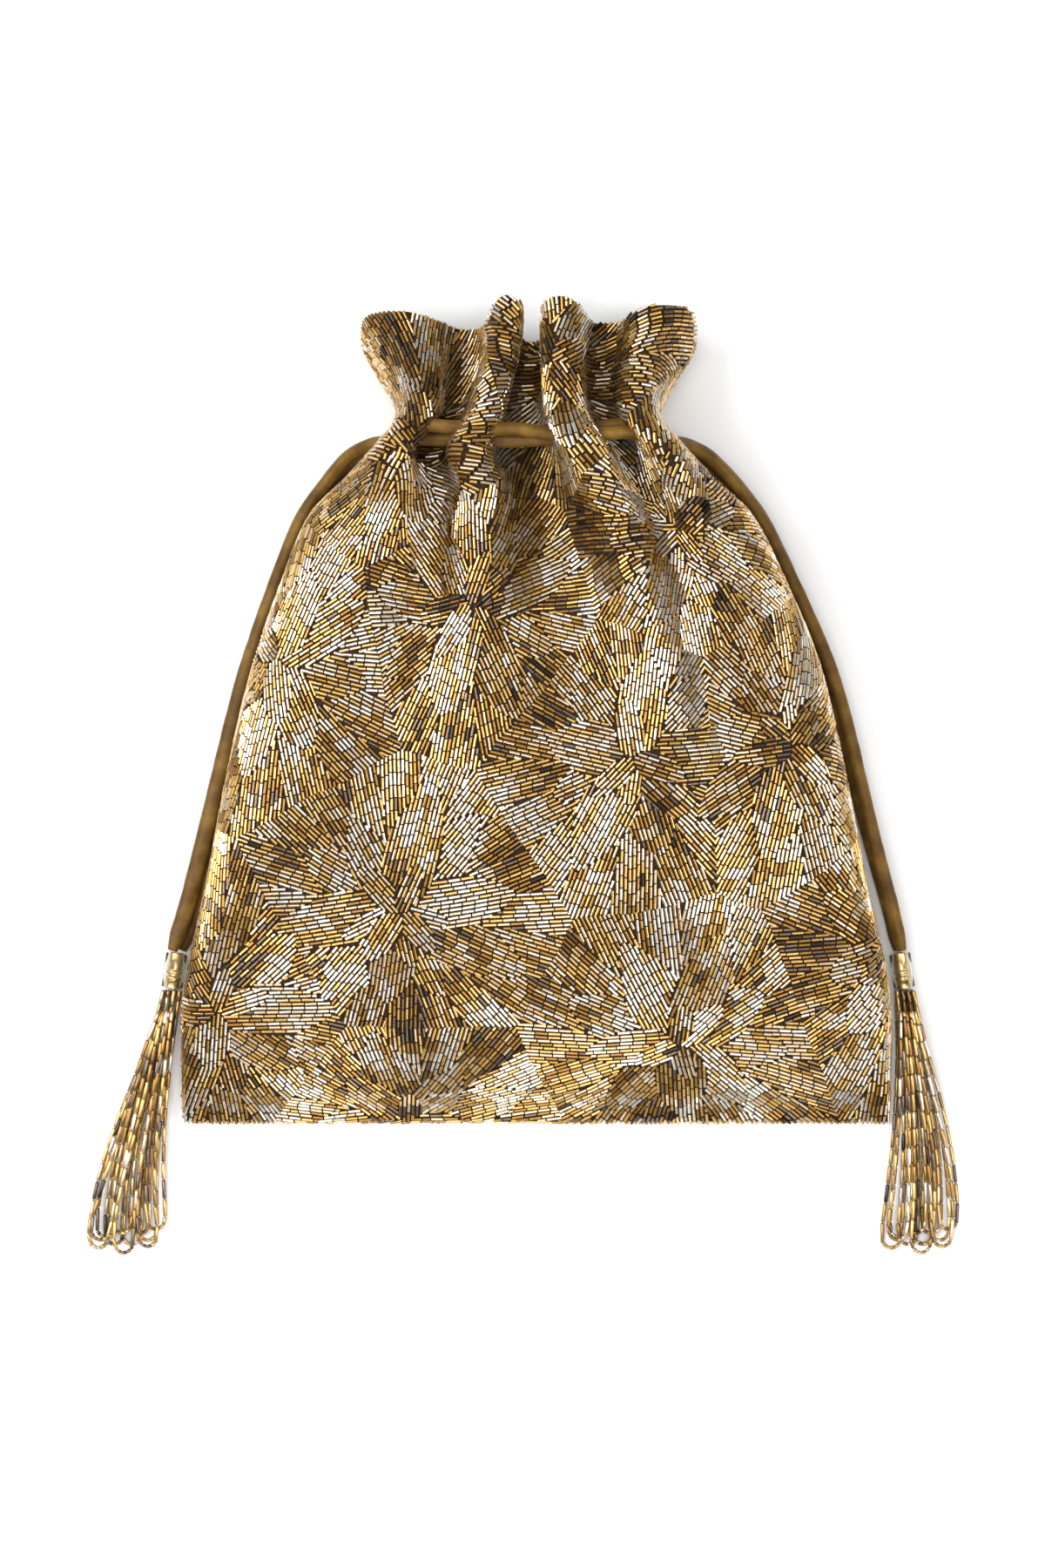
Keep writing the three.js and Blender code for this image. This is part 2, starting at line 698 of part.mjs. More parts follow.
// A looped strand: down from the collar, round its bottom and back up. Each layer of loops lies
// flat, so its loops clear the others.
const STRAND_PITCH = STRAND_DIAMETER + STRAND_GAP;
const LAYERS = LAYER_SHORTER.length;
function strandCurve(tassel, layer, loop) {
  const topX = tassel.top.x + Math.sin(tassel.turn) * COLLAR_LENGTH;
  const topY = tassel.top.y - COLLAR_LENGTH - STRAND_GAP;
  const z = STRAND_PITCH / 2 + layer * STRAND_PITCH;
  const [left, right] = tassel.spread;
  const place = (loop + layer / LAYERS) / (LOOPS_PER_LAYER - 1 / LAYERS);
  const middle = THREE.MathUtils.lerp(left, right, place);
  const radius = LOOP_WIDTH / 2;
  const length = STRAND_DROP - LAYER_SHORTER[layer] - loop * LOOP_SHORTER - LOOP_ROUND * radius;
  const leg = (number, t) => {
    const top = (2 * loop + number - LOOPS_PER_LAYER + 0.5) * STRAND_PITCH;
    const bottom = middle + (number ? radius : -radius);
    const opened = THREE.MathUtils.lerp(t, THREE.MathUtils.smoothstep(t, 0, 1), 0.55);
    const sway = tassel.bend * Math.sin(Math.PI * t);
    const x = topX + THREE.MathUtils.lerp(top, bottom, opened) + sway;
    return new THREE.Vector3(x, topY - t * length, z);
  };
  const steps = Array.from({ length: LEG_STEPS + 1 }, (_, k) => k / LEG_STEPS);
  const round = Array.from({ length: LOOP_STEPS - 1 }, (_, k) => {
    const angle = (Math.PI * (k + 1)) / LOOP_STEPS;
    const across = topX + middle - radius * Math.cos(angle);
    return new THREE.Vector3(across, topY - length - radius * LOOP_ROUND * Math.sin(angle), z);
  });
  const points = [
    ...steps.map((t) => leg(0, t)),
    ...round,
    ...steps.reverse().map((t) => leg(1, t)),
  ];
  return new THREE.CatmullRomCurve3(points, false, "centripetal");
}

// Lining
// A plain pouch inside the two panels, open at its top.
function liningRing(rise, inset) {
  const width = clothWidth(rise);
  const seam = seamHeight(rise);
  const lowest = (panel, plan) =>
    Math.min(...section(panel, plan, rise, width).slice(SIDE_STEPS, -SIDE_STEPS).map((p) => p.z));
  const up = lowest(FRONT, frontPlan) - CLOTH_WALL / 2 - inset;
  const down = lowest(BACK, backPlan) - CLOTH_WALL / 2 - inset;
  const half = width / 2 - CLOTH_WALL / 2 - inset;
  const squared = (value) => Math.sign(value) * Math.abs(value) ** LINING_SQUARE;
  return Array.from({ length: 2 * RING_COLUMNS }, (_, k) => {
    const angle = (Math.PI * k) / RING_COLUMNS;
    const round = squared(Math.sin(angle));
    return new THREE.Vector3(
      lean(rise) + half * squared(Math.cos(angle)),
      BASE_Y + rise,
      seam + (round > 0 ? up : down) * round,
    );
  });
}

function ringSolid(rings) {
  const count = rings[0].length;
  const positions = rings.flat().flatMap((p) => [p.x, p.y, p.z]);
  const index = [];
  for (let r = 0; r < rings.length - 1; r += 1)
    for (let k = 0; k < count; k += 1) {
      const next = (k + 1) % count;
      const a = r * count + k;
      const b = r * count + next;
      index.push(a, a + count, b, b, a + count, b + count);
    }
  const top = (rings.length - 1) * count;
  for (let k = 1; k < count - 1; k += 1) {
    index.push(0, k, k + 1);
    index.push(top, top + k + 1, top + k);
  }
  const geometry = new THREE.BufferGeometry();
  geometry.setAttribute("position", new THREE.Float32BufferAttribute(positions, 3));
  geometry.setIndex(index);
  return solidOf(geometry);
}

function liningGeometry() {
  const rises = Array.from({ length: LINING_ROWS + 1 }, (_, i) => {
    const u = i / LINING_ROWS; // rows stand closer together near the base, where it curls most
    return THREE.MathUtils.lerp(LINING_BASE_RISE, LINING_TOP_RISE, u * (0.4 + 0.6 * u));
  });
  const hollowRises = [...rises];
  hollowRises[0] += LINING_WALL;
  hollowRises[LINING_ROWS] += LINING_LIP;
  const outside = ringSolid(rises.map((rise) => liningRing(rise, LINING_CLEARANCE)));
  const hollow = ringSolid(
    hollowRises.map((rise) => liningRing(rise, LINING_CLEARANCE + LINING_WALL)),
  );
  return geometryOf(outside.subtract(hollow));
}

// Finishes
const beads = (color) =>
  new THREE.MeshStandardMaterial({ color, roughness: 0.35, metalness: 0.7 });
const satin = (color) => new THREE.MeshStandardMaterial({ color, roughness: 0.55, metalness: 0 });

const bag = new THREE.Group();
function place(name, geometry, material, parent = bag) {
  const mesh = new THREE.Mesh(geometry, material);
  mesh.name = name;
  parent.add(mesh);
}

const leftCurve = routeCurve(LEFT_ROUTE);
const rightCurve = routeCurve(RIGHT_ROUTE);
const slitRadius = (CORD_DIAMETER / 2 + SLIT_CLEARANCE) / Math.cos(Math.PI / SLIT_SIDES);
const slits = [leftCurve, rightCurve].map((curve) =>
  solidOf(tube(curve, slitRadius, SLIT_SIDES, CORD_STEPS)),
);

for (const [name, panel, plan] of [
  ["front_panel", FRONT, frontPlan],
  ["back_panel", BACK, backPlan],
]) {
  const cloth = solidOf(clothSolid(panelGrid(panel, plan), CLOTH_WALL, panel.up, 0));
  const slitCloth = slits.reduce((left, slit) => left.subtract(slit), cloth);
  place(name, geometryOf(slitCloth), beads("#b08a45"));
}
place("lining", liningGeometry(), satin("#8a6a32"));
const cordTube = (curve) => tube(curve, CORD_DIAMETER / 2, CORD_SIDES, CORD_STEPS);
place("drawstring_left", cordTube(leftCurve), satin("#7d5824"));
place("drawstring_right", cordTube(rightCurve), satin("#7d5824"));

for (const [side, tassel] of [
  ["left", LEFT_TASSEL],
  ["right", RIGHT_TASSEL],
]) {
  const cap = new THREE.Group();
  cap.position.copy(tassel.top);
  cap.rotation.z = tassel.turn;
  bag.add(cap);
  const brass = new THREE.MeshStandardMaterial({ color: "#c9a355", roughness: 0.3, metalness: 1 });
  const clear = new THREE.MeshStandardMaterial({
    color: "#e8e6df",
    roughness: 0.1,
    metalness: 0,
    transparent: true,
    opacity: 0.4,
  });
  place("tassel_" + side + "_collar", turned(COLLAR_PROFILE), brass, cap);
  place("tassel_" + side + "_sleeve", turned(SLEEVE_PROFILE), clear, cap);
  for (let number = 0; number < LAYERS * LOOPS_PER_LAYER; number += 1) {
    const layer = Math.floor(number / LOOPS_PER_LAYER);
    const path = strandCurve(tassel, layer, number % LOOPS_PER_LAYER);
    const strand = tube(path, STRAND_DIAMETER / 2, STRAND_SIDES, 2 * LEG_STEPS + LOOP_STEPS);
    place("tassel_" + side + "_strand_0" + (number + 1), strand, beads("#c8a75e"));
  }
}

export default bag;
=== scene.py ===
"""Beaded drawstring pouch lying on its back, with two cord loops and a bead tassel on each.

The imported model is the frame. This file builds what is seen on it: bead-covered cloth, satin
cords, a satin lining and the tassels, all in metres in the frame's own axes.
"""

import logging  # noqa: E402
import math  # noqa: E402
from collections.abc import Callable, Sequence  # noqa: E402
from dataclasses import dataclass, field  # noqa: E402
from enum import Enum  # noqa: E402

import bpy  # noqa: E402
import numpy as np  # noqa: E402
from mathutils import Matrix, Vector  # noqa: E402
from mathutils.kdtree import KDTree  # noqa: E402


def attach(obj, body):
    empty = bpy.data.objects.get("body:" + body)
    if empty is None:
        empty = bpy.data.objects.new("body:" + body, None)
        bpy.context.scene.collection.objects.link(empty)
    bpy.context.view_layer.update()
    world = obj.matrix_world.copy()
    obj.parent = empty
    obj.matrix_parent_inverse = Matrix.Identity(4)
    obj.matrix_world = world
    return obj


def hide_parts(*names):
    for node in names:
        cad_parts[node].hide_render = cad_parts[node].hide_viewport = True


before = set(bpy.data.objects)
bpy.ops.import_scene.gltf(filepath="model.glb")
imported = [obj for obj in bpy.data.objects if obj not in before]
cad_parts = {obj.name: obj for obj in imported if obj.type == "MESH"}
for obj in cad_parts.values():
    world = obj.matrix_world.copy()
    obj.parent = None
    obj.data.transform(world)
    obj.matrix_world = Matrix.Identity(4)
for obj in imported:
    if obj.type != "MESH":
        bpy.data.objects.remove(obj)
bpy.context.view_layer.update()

MM = 0.001
BAKE_MAP = "OFBake"
TONE = "bead_tone"
FOLDS = 7

Array = np.ndarray
Pair = tuple[float, float]
Point = tuple[float, float, float]
Route = Sequence[Point]
Pairs = tuple[Pair, ...]
Folds = tuple[tuple[float, tuple[float, ...], tuple[float, ...]], ...]
Random = np.random.Generator
Field = Callable[[Array, Array], Array]
Leg = Callable[[int, float], Point]
Socket = bpy.types.NodeSocket
Piece = bpy.types.Object
Material = bpy.types.Material

logging.basicConfig(level=logging.INFO, format="%(message)s")
log = logging.getLogger("pouch")


class Named(Enum):
    """A choice whose name is part of the names of nodes and pieces."""

    @property
    def word(self) -> str:
        """The choice's name in lower case."""
        return self.name.lower()


class Side(Named):
    """The side of the pouch that a cord comes from."""

    LEFT = -1
    RIGHT = 1


class Face(Named):
    """Which of the two cloth panels, and which way its outside faces along Z."""

    FRONT = 1
    BACK = -1


class Area(Enum):
    """What an area of the beadwork is."""

    FAN = 0
    OUTER_PETAL = 1
    INNER_PETAL = 2


class BeadTone(Enum):
    """The colours of the glass beads, as linear red, green and blue."""

    DARK = (0.05, 0.032, 0.02)
    TAUPE = (0.2, 0.142, 0.095)
    OCHRE = (0.4, 0.215, 0.05)
    GOLD = (0.76, 0.495, 0.165)
    CHAMPAGNE = (0.85, 0.65, 0.42)
    SILVER = (1.0, 0.92, 0.8)


TONES = np.array([tone.value for tone in BeadTone])

# --- Finishes ---


class NodeTree:
    """Builds a material's node tree with short calls."""

    def __init__(self, name: str) -> None:
        """Makes an empty node material with a Principled surface.

        Args:
            name: The material's name.
        """
        self.material = bpy.data.materials.new(name)
        self.material.use_nodes = True
        self.tree = self.material.node_tree
        self.surface = self.tree.nodes["Principled BSDF"]

    def add(self, kind: str, **settings: object) -> bpy.types.Node:
        """Adds a node.

        Args:
            kind: The node's type name without its ShaderNode prefix.
            settings: Properties to set, or input values whose names start with in_.

        Returns:
            The new node.
        """
        node = self.tree.nodes.new("ShaderNode" + kind)
        for key, value in settings.items():
            if key.startswith("in_"):
                node.inputs[key[3:].replace("_", " ")].default_value = value
            else:
                setattr(node, key, value)
        return node

    def link(self, source: Socket, target: Socket) -> None:
        """Joins an output to an input."""
        self.tree.links.new(source, target)

    def set(self, **values: object) -> None:
        """Sets the surface's own sockets, with _ for each space in their names."""
        for key, value in values.items():
            self.surface.inputs[key.replace("_", " ")].default_value = value

    def noise(self, scale: float, detail: float, stretch: Point = (1, 1, 1)) -> Socket:
        """Adds noise in the object's own coordinates.

        Args:
            scale: Features per metre.
            detail: Octaves of finer noise.
            stretch: Factors on the three coordinates.

        Returns:
            The noise's value.
        """
        place = self.add("TexCoord")
        mapping = self.add("Mapping", in_Scale=stretch)
        self.link(place.outputs["Object"], mapping.inputs["Vector"])
        node = self.add("TexNoise", in_Scale=scale, in_Detail=detail)
        self.link(mapping.outputs["Vector"], node.inputs["Vector"])
        return node.outputs["Fac"]

    def ramp(self, source: Socket, stops: Sequence[tuple[float, Point]]) -> Socket:
        """Turns a value into a colour.

        Args:
            source: The value.
            stops: Pairs of place and linear colour.

        Returns:
            The colour output.
        """
        node = self.add("ValToRGB")
        marks = node.color_ramp.elements
        while len(marks) < len(stops):
            marks.new(0.5)
        for mark, (place, colour) in zip(marks, stops):
            mark.position = place
            mark.color = (*colour, 1.0)
        self.link(source, node.inputs["Fac"])
        return node.outputs["Color"]

    def multiply(self, colour: Socket, other: Socket, share: float) -> Socket:
        """Darkens a colour by another one.

        Args:
            colour: The colour.
            other: What it is multiplied by.
            share: How much of that shows.

        Returns:
            The darker colour.
        """
        mix = self.add("MixRGB", blend_type="MULTIPLY", in_Fac=share)
        self.link(colour, mix.inputs["Color1"])
        self.link(other, mix.inputs["Color2"])
        return mix.outputs["Color"]

    def paint(self, colour: Socket) -> None:
        """Gives the surface its colour."""
        self.link(colour, self.surface.inputs["Base Color"])

    def roughen(self, value: Socket, low: float, high: float) -> None:
        """Lets the surface's roughness follow a value.

        Args:
            value: The value, from 0 to 1.
            low: Roughness where it is 0.
            high: Roughness where it is 1.
        """
        spread = self.add("MapRange", in_To_Min=low, in_To_Max=high)
        self.link(value, spread.inputs["Value"])
        self.link(spread.outputs["Result"], self.surface.inputs["Roughness"])

    def bump(self, source: bpy.types.NodeSocket, strength: float, distance: float) -> None:
        """Adds relief to the surface, on top of any that is there.

        Args:
            source: The height.
            strength: Share of the relief that shows.
            distance: Height of the relief in metres.
        """
        node = self.add("Bump", in_Strength=strength, in_Distance=distance)
        self.link(source, node.inputs["Height"])
        normal = self.surface.inputs["Normal"]
        if normal.links:
            self.link(normal.links[0].from_socket, node.inputs["Normal"])
        self.link(node.outputs["Normal"], normal)


@dataclass(frozen=True)
class BeadFinish:
    """Silver-lined glass beads, each with its own tone."""

    name: str = "bugle_beads"
    roughness: float = 0.24
    metallic: float = 0.82
    speck_scale: float = 900
    speck_share: float = 0.35
    smudge_scale: float = 260

    def material(self) -> Material:
        """Builds the material.

        Returns:
            The material.
        """
        nodes = NodeTree(self.name)
        tone = nodes.add("Attribute", attribute_name=TONE).outputs["Color"]
        specks = nodes.noise(self.speck_scale, 2)
        dim = nodes.ramp(specks, [(0.3, (0.6, 0.55, 0.5)), (0.65, (1, 1, 1))])
        nodes.paint(nodes.multiply(tone, dim, self.speck_share))
        smudges = nodes.noise(self.smudge_scale, 1)
        nodes.roughen(smudges, self.roughness - 0.08, self.roughness + 0.14)
        nodes.set(Metallic=self.metallic, Coat_Weight=0.25, Coat_Roughness=0.08)
        return nodes.material


@dataclass(frozen=True)
class BackingFinish:
    """The dark woven cloth that the beads are sewn to."""

    name: str = "backing_cloth"
    dark: Point = (0.012, 0.005, 0.002)
    light: Point = (0.05, 0.024, 0.01)
    weave_scale: float = 1400

    def material(self) -> Material:
        """Builds the material.

        Returns:
            The material.
        """
        nodes = NodeTree(self.name)
        weave = nodes.noise(self.weave_scale, 3)
        nodes.paint(nodes.ramp(weave, [(0.3, self.dark), (0.72, self.light)]))
        nodes.bump(weave, 0.6, 0.0002)
        nodes.set(Roughness=0.85, Specular_IOR_Level=0.2)
        return nodes.material


@dataclass(frozen=True)
class SatinFinish:
    """Satin, with fine threads and soft changes of shade."""

    name: str
    dark: Point
    middle: Point
    light: Point
    roughness: float = 0.5
    shade_scale: float = 140
    thread_scale: float = 2600
    thread_share: float = 0.45

    def material(self) -> Material:
        """Builds the material.

        Returns:
            The material.
        """
        nodes = NodeTree(self.name)
        shade = nodes.noise(self.shade_scale, 4)
        colour = nodes.ramp(shade, [(0.28, self.dark), (0.5, self.middle), (0.74, self.light)])
        threads = nodes.noise(self.thread_scale, 2)
        lines = nodes.ramp(threads, [(0.35, (0.6, 0.6, 0.6)), (0.6, (1, 1, 1))])
        nodes.paint(nodes.multiply(colour, lines, self.thread_share))
        nodes.bump(shade, 0.35, 0.0004)
        nodes.bump(threads, 0.4, 0.0001)
        nodes.set(
            Roughness=self.roughness,
            Specular_IOR_Level=0.22,
            Sheen_Weight=0.06,
            Sheen_Roughness=0.4,
            Sheen_Tint=(1.0, 0.78, 0.45, 1.0),
        )
        return nodes.material


@dataclass(frozen=True)
class BrassFinish:
    """Polished brass with faint turning marks and tarnish."""

    name: str = "polished_brass"
    dark: Point = (0.5, 0.34, 0.14)
    middle: Point = (0.8, 0.6, 0.3)
    light: Point = (0.9, 0.74, 0.45)
    tarnish_scale: float = 420
    mark_scale: float = 1800

    def material(self) -> Material:
        """Builds the material.

        Returns:
            The material.
        """
        nodes = NodeTree(self.name)
        tarnish = nodes.noise(self.tarnish_scale, 4)
        stops = [(0.32, self.dark), (0.55, self.middle), (0.8, self.light)]
        nodes.paint(nodes.ramp(tarnish, stops))
        nodes.bump(nodes.noise(self.mark_scale, 1, (0.15, 3, 0.15)), 0.3, 0.00008)
        nodes.set(Metallic=0.9, Roughness=0.34)
        return nodes.material


@dataclass(frozen=True)
class ClearFinish:
    """The clear sleeve over a collar, with a few faint scuffs."""

    name: str = "clear_sleeve"
    colour: Point = (0.93, 0.93, 0.9)
    scuff_scale: float = 700
    index: float = 1.16

    def material(self) -> Material:
        """Builds the material.

        Returns:
            The material.
        """
        nodes = NodeTree(self.name)
        nodes.roughen(nodes.noise(self.scuff_scale, 3), 0.02, 0.22)
        nodes.set(Base_Color=(*self.colour, 1.0), Transmission_Weight=1.0, IOR=self.index)
        return nodes.material


@dataclass(frozen=True)
class FloorFinish:
    """The pale studio floor."""

    name: str = "pale_floor"
    colour: tuple[float, float, float] = (0.93, 0.93, 0.925)

    def material(self) -> bpy.types.Material:
        """Builds the material.

        Returns:
            The material.
        """
        nodes = NodeTree(self.name)
        nodes.set(Base_Color=(*self.colour, 1.0), Roughness=0.95, Specular_IOR_Level=0.1)
        return nodes.material


# --- Shapes shared by the pieces ---


@dataclass(frozen=True)
class Smooth:
    """A smooth function through stations of place and value that never overshoots them."""

    stations: Pairs

    def __call__(self, place: Array | float) -> Array:
        """Gives the values at some places.

        Args:
            place: Where to read the function.

        Returns:
            The value at each place.
        """
        xs, ys = (np.array(column, float) for column in zip(*self.stations))
        steep = np.diff(ys) / np.diff(xs)
        before, after = steep[:-1], steep[1:]
        same = before * after > 0
        tangents = np.zeros(len(xs))
        tangents[1:-1][same] = 2 * before[same] * after[same] / (before + after)[same]
        at = np.clip(place, xs[0], xs[-1])
        i = np.clip(np.searchsorted(xs, at) - 1, 0, len(xs) - 2)
        span = xs[i + 1] - xs[i]
        u = (at - xs[i]) / span
        v = 1 - u
        return (
            ys[i] * v * v * (1 + 2 * u)
            + ys[i + 1] * u * u * (1 + 2 * v)
            + span * u * v * (tangents[i] * v - tangents[i + 1] * u)
        )


def unit(vectors: Array) -> Array:
    """Scales each vector to length one."""
    return vectors / np.maximum(np.linalg.norm(vectors, axis=-1, keepdims=True), 1e-12)

def ease(share: Array | float) -> Array | float:
    """Lets a share from 0 to 1 start and end gently."""
    return share * share * (3 - 2 * share)


def circle(sides: int) -> Array:
    """Gives the angles of points spaced evenly round a circle."""
    return np.linspace(0, 2 * math.pi, sides, endpoint=False)


def mesh_object(
    name: str, points: Array, faces: Sequence[Array], material: Material
) -> Piece:
    """Makes a smoothly shaded mesh object from arrays.

    Args:
        name: The piece's name.
        points: Its points in millimetres.
        faces: Arrays of faces, each with one number of corners.
        material: Its finish.

    Returns:
        The new object.
    """
    mesh = bpy.data.meshes.new(name)
    mesh.vertices.add(len(points))
    mesh.vertices.foreach_set("co", (points * MM).astype(np.float32).ravel())
    loops = np.concatenate([block.ravel() for block in faces])
    counts = np.concatenate([np.full(len(block), block.shape[1]) for block in faces])
    starts = np.concatenate([[0], np.cumsum(counts)[:-1]])
    mesh.loops.add(len(loops))
    mesh.loops.foreach_set("vertex_index", loops.astype(np.int32))
    mesh.polygons.add(len(counts))
    mesh.polygons.foreach_set("loop_start", starts.astype(np.int32))
    mesh.polygons.foreach_set("use_smooth", np.ones(len(counts), bool))
    mesh.update(calc_edges=True)
    mesh.materials.append(material)
    piece = bpy.data.objects.new(name, mesh)
    bpy.context.scene.collection.objects.link(piece)
    return piece


def dress(piece: Piece, node: str | None = None) -> None:
    """Puts a piece on the frame.

    Args:
        piece: The piece.
        node: The frame's node that it stands for, if there is one.
    """
    if node:
        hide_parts(node)
    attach(piece, "root")


def tint(piece: Piece, colours: Array, each: int) -> None:
    """Gives a piece's points their bead tones.

    Args:
        piece: The piece.
        colours: A colour for each group of points.
        each: Points in a group.
    """
    rgba = np.ones((len(colours), each, 4), np.float32)
    rgba[:, :, :3] = np.clip(colours, 0, 1)[:, None]
    tone = piece.data.attributes.new(TONE, "FLOAT_COLOR", "POINT")
    tone.data.foreach_set("color", rgba.ravel())


def grid_faces(rows: int, cols: int, wrap: bool = False, flip: bool = False) -> Array:
    """Lists the faces of a grid of points.

    Args:
        rows: Rows of points.
        cols: Points in a row.
        wrap: Whether the last point of a row joins the first.
        flip: Whether the faces turn the other way.

    Returns:
        The four-cornered faces.
    """
    r, c = np.meshgrid(np.arange(rows - 1), np.arange(cols if wrap else cols - 1), indexing="ij")
    d = (c + 1) % cols
    quads = np.stack([r * cols + c, r * cols + d, (r + 1) * cols + d, (r + 1) * cols + c], -1)
    quads = quads.reshape(-1, 4)
    return quads[:, ::-1] if flip else quads


def rod_faces(rows: int, sides: int) -> list[Array]:
    """Lists the faces of a rod of rings: its wall and its two ends."""
    ring = np.arange(sides)
    return [grid_faces(rows, sides, wrap=True), ring[None, ::-1], ((rows - 1) * sides + ring)[None]]


def edge_faces(count: int, start: Array, end: Array) -> Array:
    """Lists the faces along an edge where a sheet's outer layer meets its inner one.

    Args:
        count: Points in a layer.
        start: The point where each face starts on the outer layer.
        end: The point where it ends.

    Returns:
        The four-cornered faces.
    """
    return np.stack([end, start, count + start, count + end], 1)


def spline(points: Route, per_span: int = 24) -> Array:
    """Draws a smooth curve through points, as the solids' own routes are drawn.

    Args:
        points: The points that it goes through.
        per_span: Points to make between two of them.

    Returns:
        The curve's points.
    """
    p = np.array(points, float)
    p = np.vstack([2 * p[0] - p[1], p, 2 * p[-1] - p[-2]])
    knots = np.linalg.norm(np.diff(p, axis=0), axis=1) ** 0.5
    made = []
    for i in range(1, len(p) - 2):
        d0, d1, d2 = knots[i - 1], knots[i], knots[i + 1]
        start = (p[i] - p[i - 1]) / d0 - (p[i + 1] - p[i - 1]) / (d0 + d1) + (p[i + 1] - p[i]) / d1
        end = (p[i + 1] - p[i]) / d1 - (p[i + 2] - p[i]) / (d1 + d2) + (p[i + 2] - p[i + 1]) / d2
        start, end = start * d1, end * d1
        u = np.linspace(0, 1, per_span, endpoint=False)[:, None]
        v = 1 - u
        made.append(
            p[i] * v * v * (1 + 2 * u)
            + p[i + 1] * u * u * (1 + 2 * v)
            + start * u * v * v
            - end * u * u * v
        )
    return np.vstack([*made, p[-2:-1]])


def evenly(path: Array, step: float) -> Array:
    """Spaces a path's points evenly.

    Args:
        path: The path's points.
        step: About how far apart the new points are.

    Returns:
        The new points, from the path's start to its end.
    """
    lengths = np.concatenate([[0], np.cumsum(np.linalg.norm(np.diff(path, axis=0), axis=1))])
    count = max(2, int(round(lengths[-1] / step)) + 1)
    at = np.linspace(0, lengths[-1], count)
    return np.stack([np.interp(at, lengths, path[:, k]) for k in range(3)], 1)


def path_length(path: Array) -> float:
    """Measures a path."""
    return float(np.linalg.norm(np.diff(path, axis=0), axis=1).sum())


def carried_frames(path: Array) -> tuple[Array, Array, Array]:
    """Carries a frame along a path without twisting it.

    Args:
        path: The path's points.

    Returns:
        The directions along the path, across it, and up from it.
    """
    along = unit(np.gradient(path, axis=0))
    up = np.empty_like(along)
    first = np.array([0.0, 0.0, 1.0])
    for i, direction in enumerate(along):
        first = first - direction * (first @ direction)
        first /= np.linalg.norm(first)
        up[i] = first
    return along, np.cross(along, up), up


def lattice(rng: Random, size: float, low: Sequence[float], high: Sequence[float]) -> Field:
    """Makes a smooth random field over a flat area.

    Args:
        rng: The source of its values.
        size: How far apart its values are.
        low: The area's lowest corner.
        high: The area's highest corner.

    Returns:
        A function of two coordinates that gives values from -1 to 1.
    """
    counts = [int(math.ceil((b - a) / size)) + 3 for a, b in zip(low, high)]
    values = rng.uniform(-1, 1, counts)

    def read(across: Array, rise: Array) -> Array:
        """Reads the field at some places.

        Args:
            across: The places' first coordinates.
            rise: Their second ones.

        Returns:
            The field's values there.
        """
        p = np.clip((across - low[0]) / size, 0, counts[0] - 2.001)
        q = np.clip((rise - low[1]) / size, 0, counts[1] - 2.001)
        i, j = p.astype(int), q.astype(int)
        u, v = ease(p - i), ease(q - j)
        near = values[i, j] * (1 - u) + values[i + 1, j] * u
        far = values[i, j + 1] * (1 - u) + values[i + 1, j + 1] * u
        return near * (1 - v) + far * v

    return read


# --- The gathered bag ---


@dataclass(frozen=True)
class Pouch:
    """The bag's sizes in millimetres, as the solids have them: rises start at the base seam."""

    height: float = 241.0
    hem_crests: tuple[float, ...] = (7.8, 3, 12.4, -0.5, 12, 5, 9.7)
    neck_lean: float = -2.3
    cloth_wall: float = 1.6
    seam_gap: float = 0.3
    base_width: float = 220.0
    base_round: float = 2.0

    @property
    def base_y(self) -> float:
        """Where the base seam lies."""
        return -(self.height + max(self.hem_crests)) / 2

    def rise(self, share: float) -> float:
        """Gives a height as a share of the bag's."""
        return share * self.height

    @property
    def cord_rise(self) -> float:
        """Height of the drawstring line."""
        return self.rise(0.8755)

    @property
    def neck_rise(self) -> float:
        """Height of the narrowest gather."""
        return self.rise(0.9087)

    @property
    def outer_width(self) -> Smooth:
        """The bag's width over the beads at each rise."""
        shares = (0, 0.1245, 0.307, 0.5685, 0.7012, 0.776, 0.834, 0.9087, 0.9585, 1)
        widths = (220, 220, 204, 177.5, 154, 137, 109, 82, 94, 103.5)
        return Smooth(tuple((self.rise(s), w) for s, w in zip(shares, widths)))

    @property
    def lean(self) -> Smooth:
        """How far the bag's middle stands off to one side at each rise."""
        lean = self.neck_lean
        return Smooth(
            ((0, 0), (self.rise(0.5685), 0), (self.cord_rise, lean), (self.height, lean))
        )


POUCH = Pouch()

FRONT_FOLDS = (
    (0, (0.15, 0.14, 0.14, 0.2, 0.14, 0.12, 0.11), (0,) * 8),
    (0.307, (0.15, 0.14, 0.15, 0.24, 0.12, 0.1, 0.1),
     (0.02, 0.08, 0.1, 0.08, 0.12, 0.16, 0.08, 0.04)),
    (0.5685, (0.16, 0.14, 0.158, 0.26, 0.11, 0.09, 0.082),
     (0.1, 0.2, 0.26, 0.26, 0.42, 0.5, 0.25, 0.12)),
    (0.776, (0.15, 0.13, 0.14, 0.23, 0.16, 0.1, 0.09),
     (0.5, 0.8, 0.95, 0.9, 0.9, 1.1, 0.85, 0.5)),
    (0.8755, (0.13, 0.114, 0.137, 0.203, 0.162, 0.127, 0.127),
     (1.5, 1.55, 1.55, 1.5, 1.5, 1.55, 1.5, 1.5)),
    (0.9087, (0.13, 0.12, 0.14, 0.185, 0.165, 0.13, 0.13),
     (1.4, 1.45, 1.5, 1.6, 1.6, 1.5, 1.45, 1.4)),
    (1, (0.138, 0.13, 0.152, 0.138, 0.17, 0.14, 0.132),
     (0.7, 0.75, 1.15, 1.75, 1.75, 1.1, 1.05, 0.85)),
)
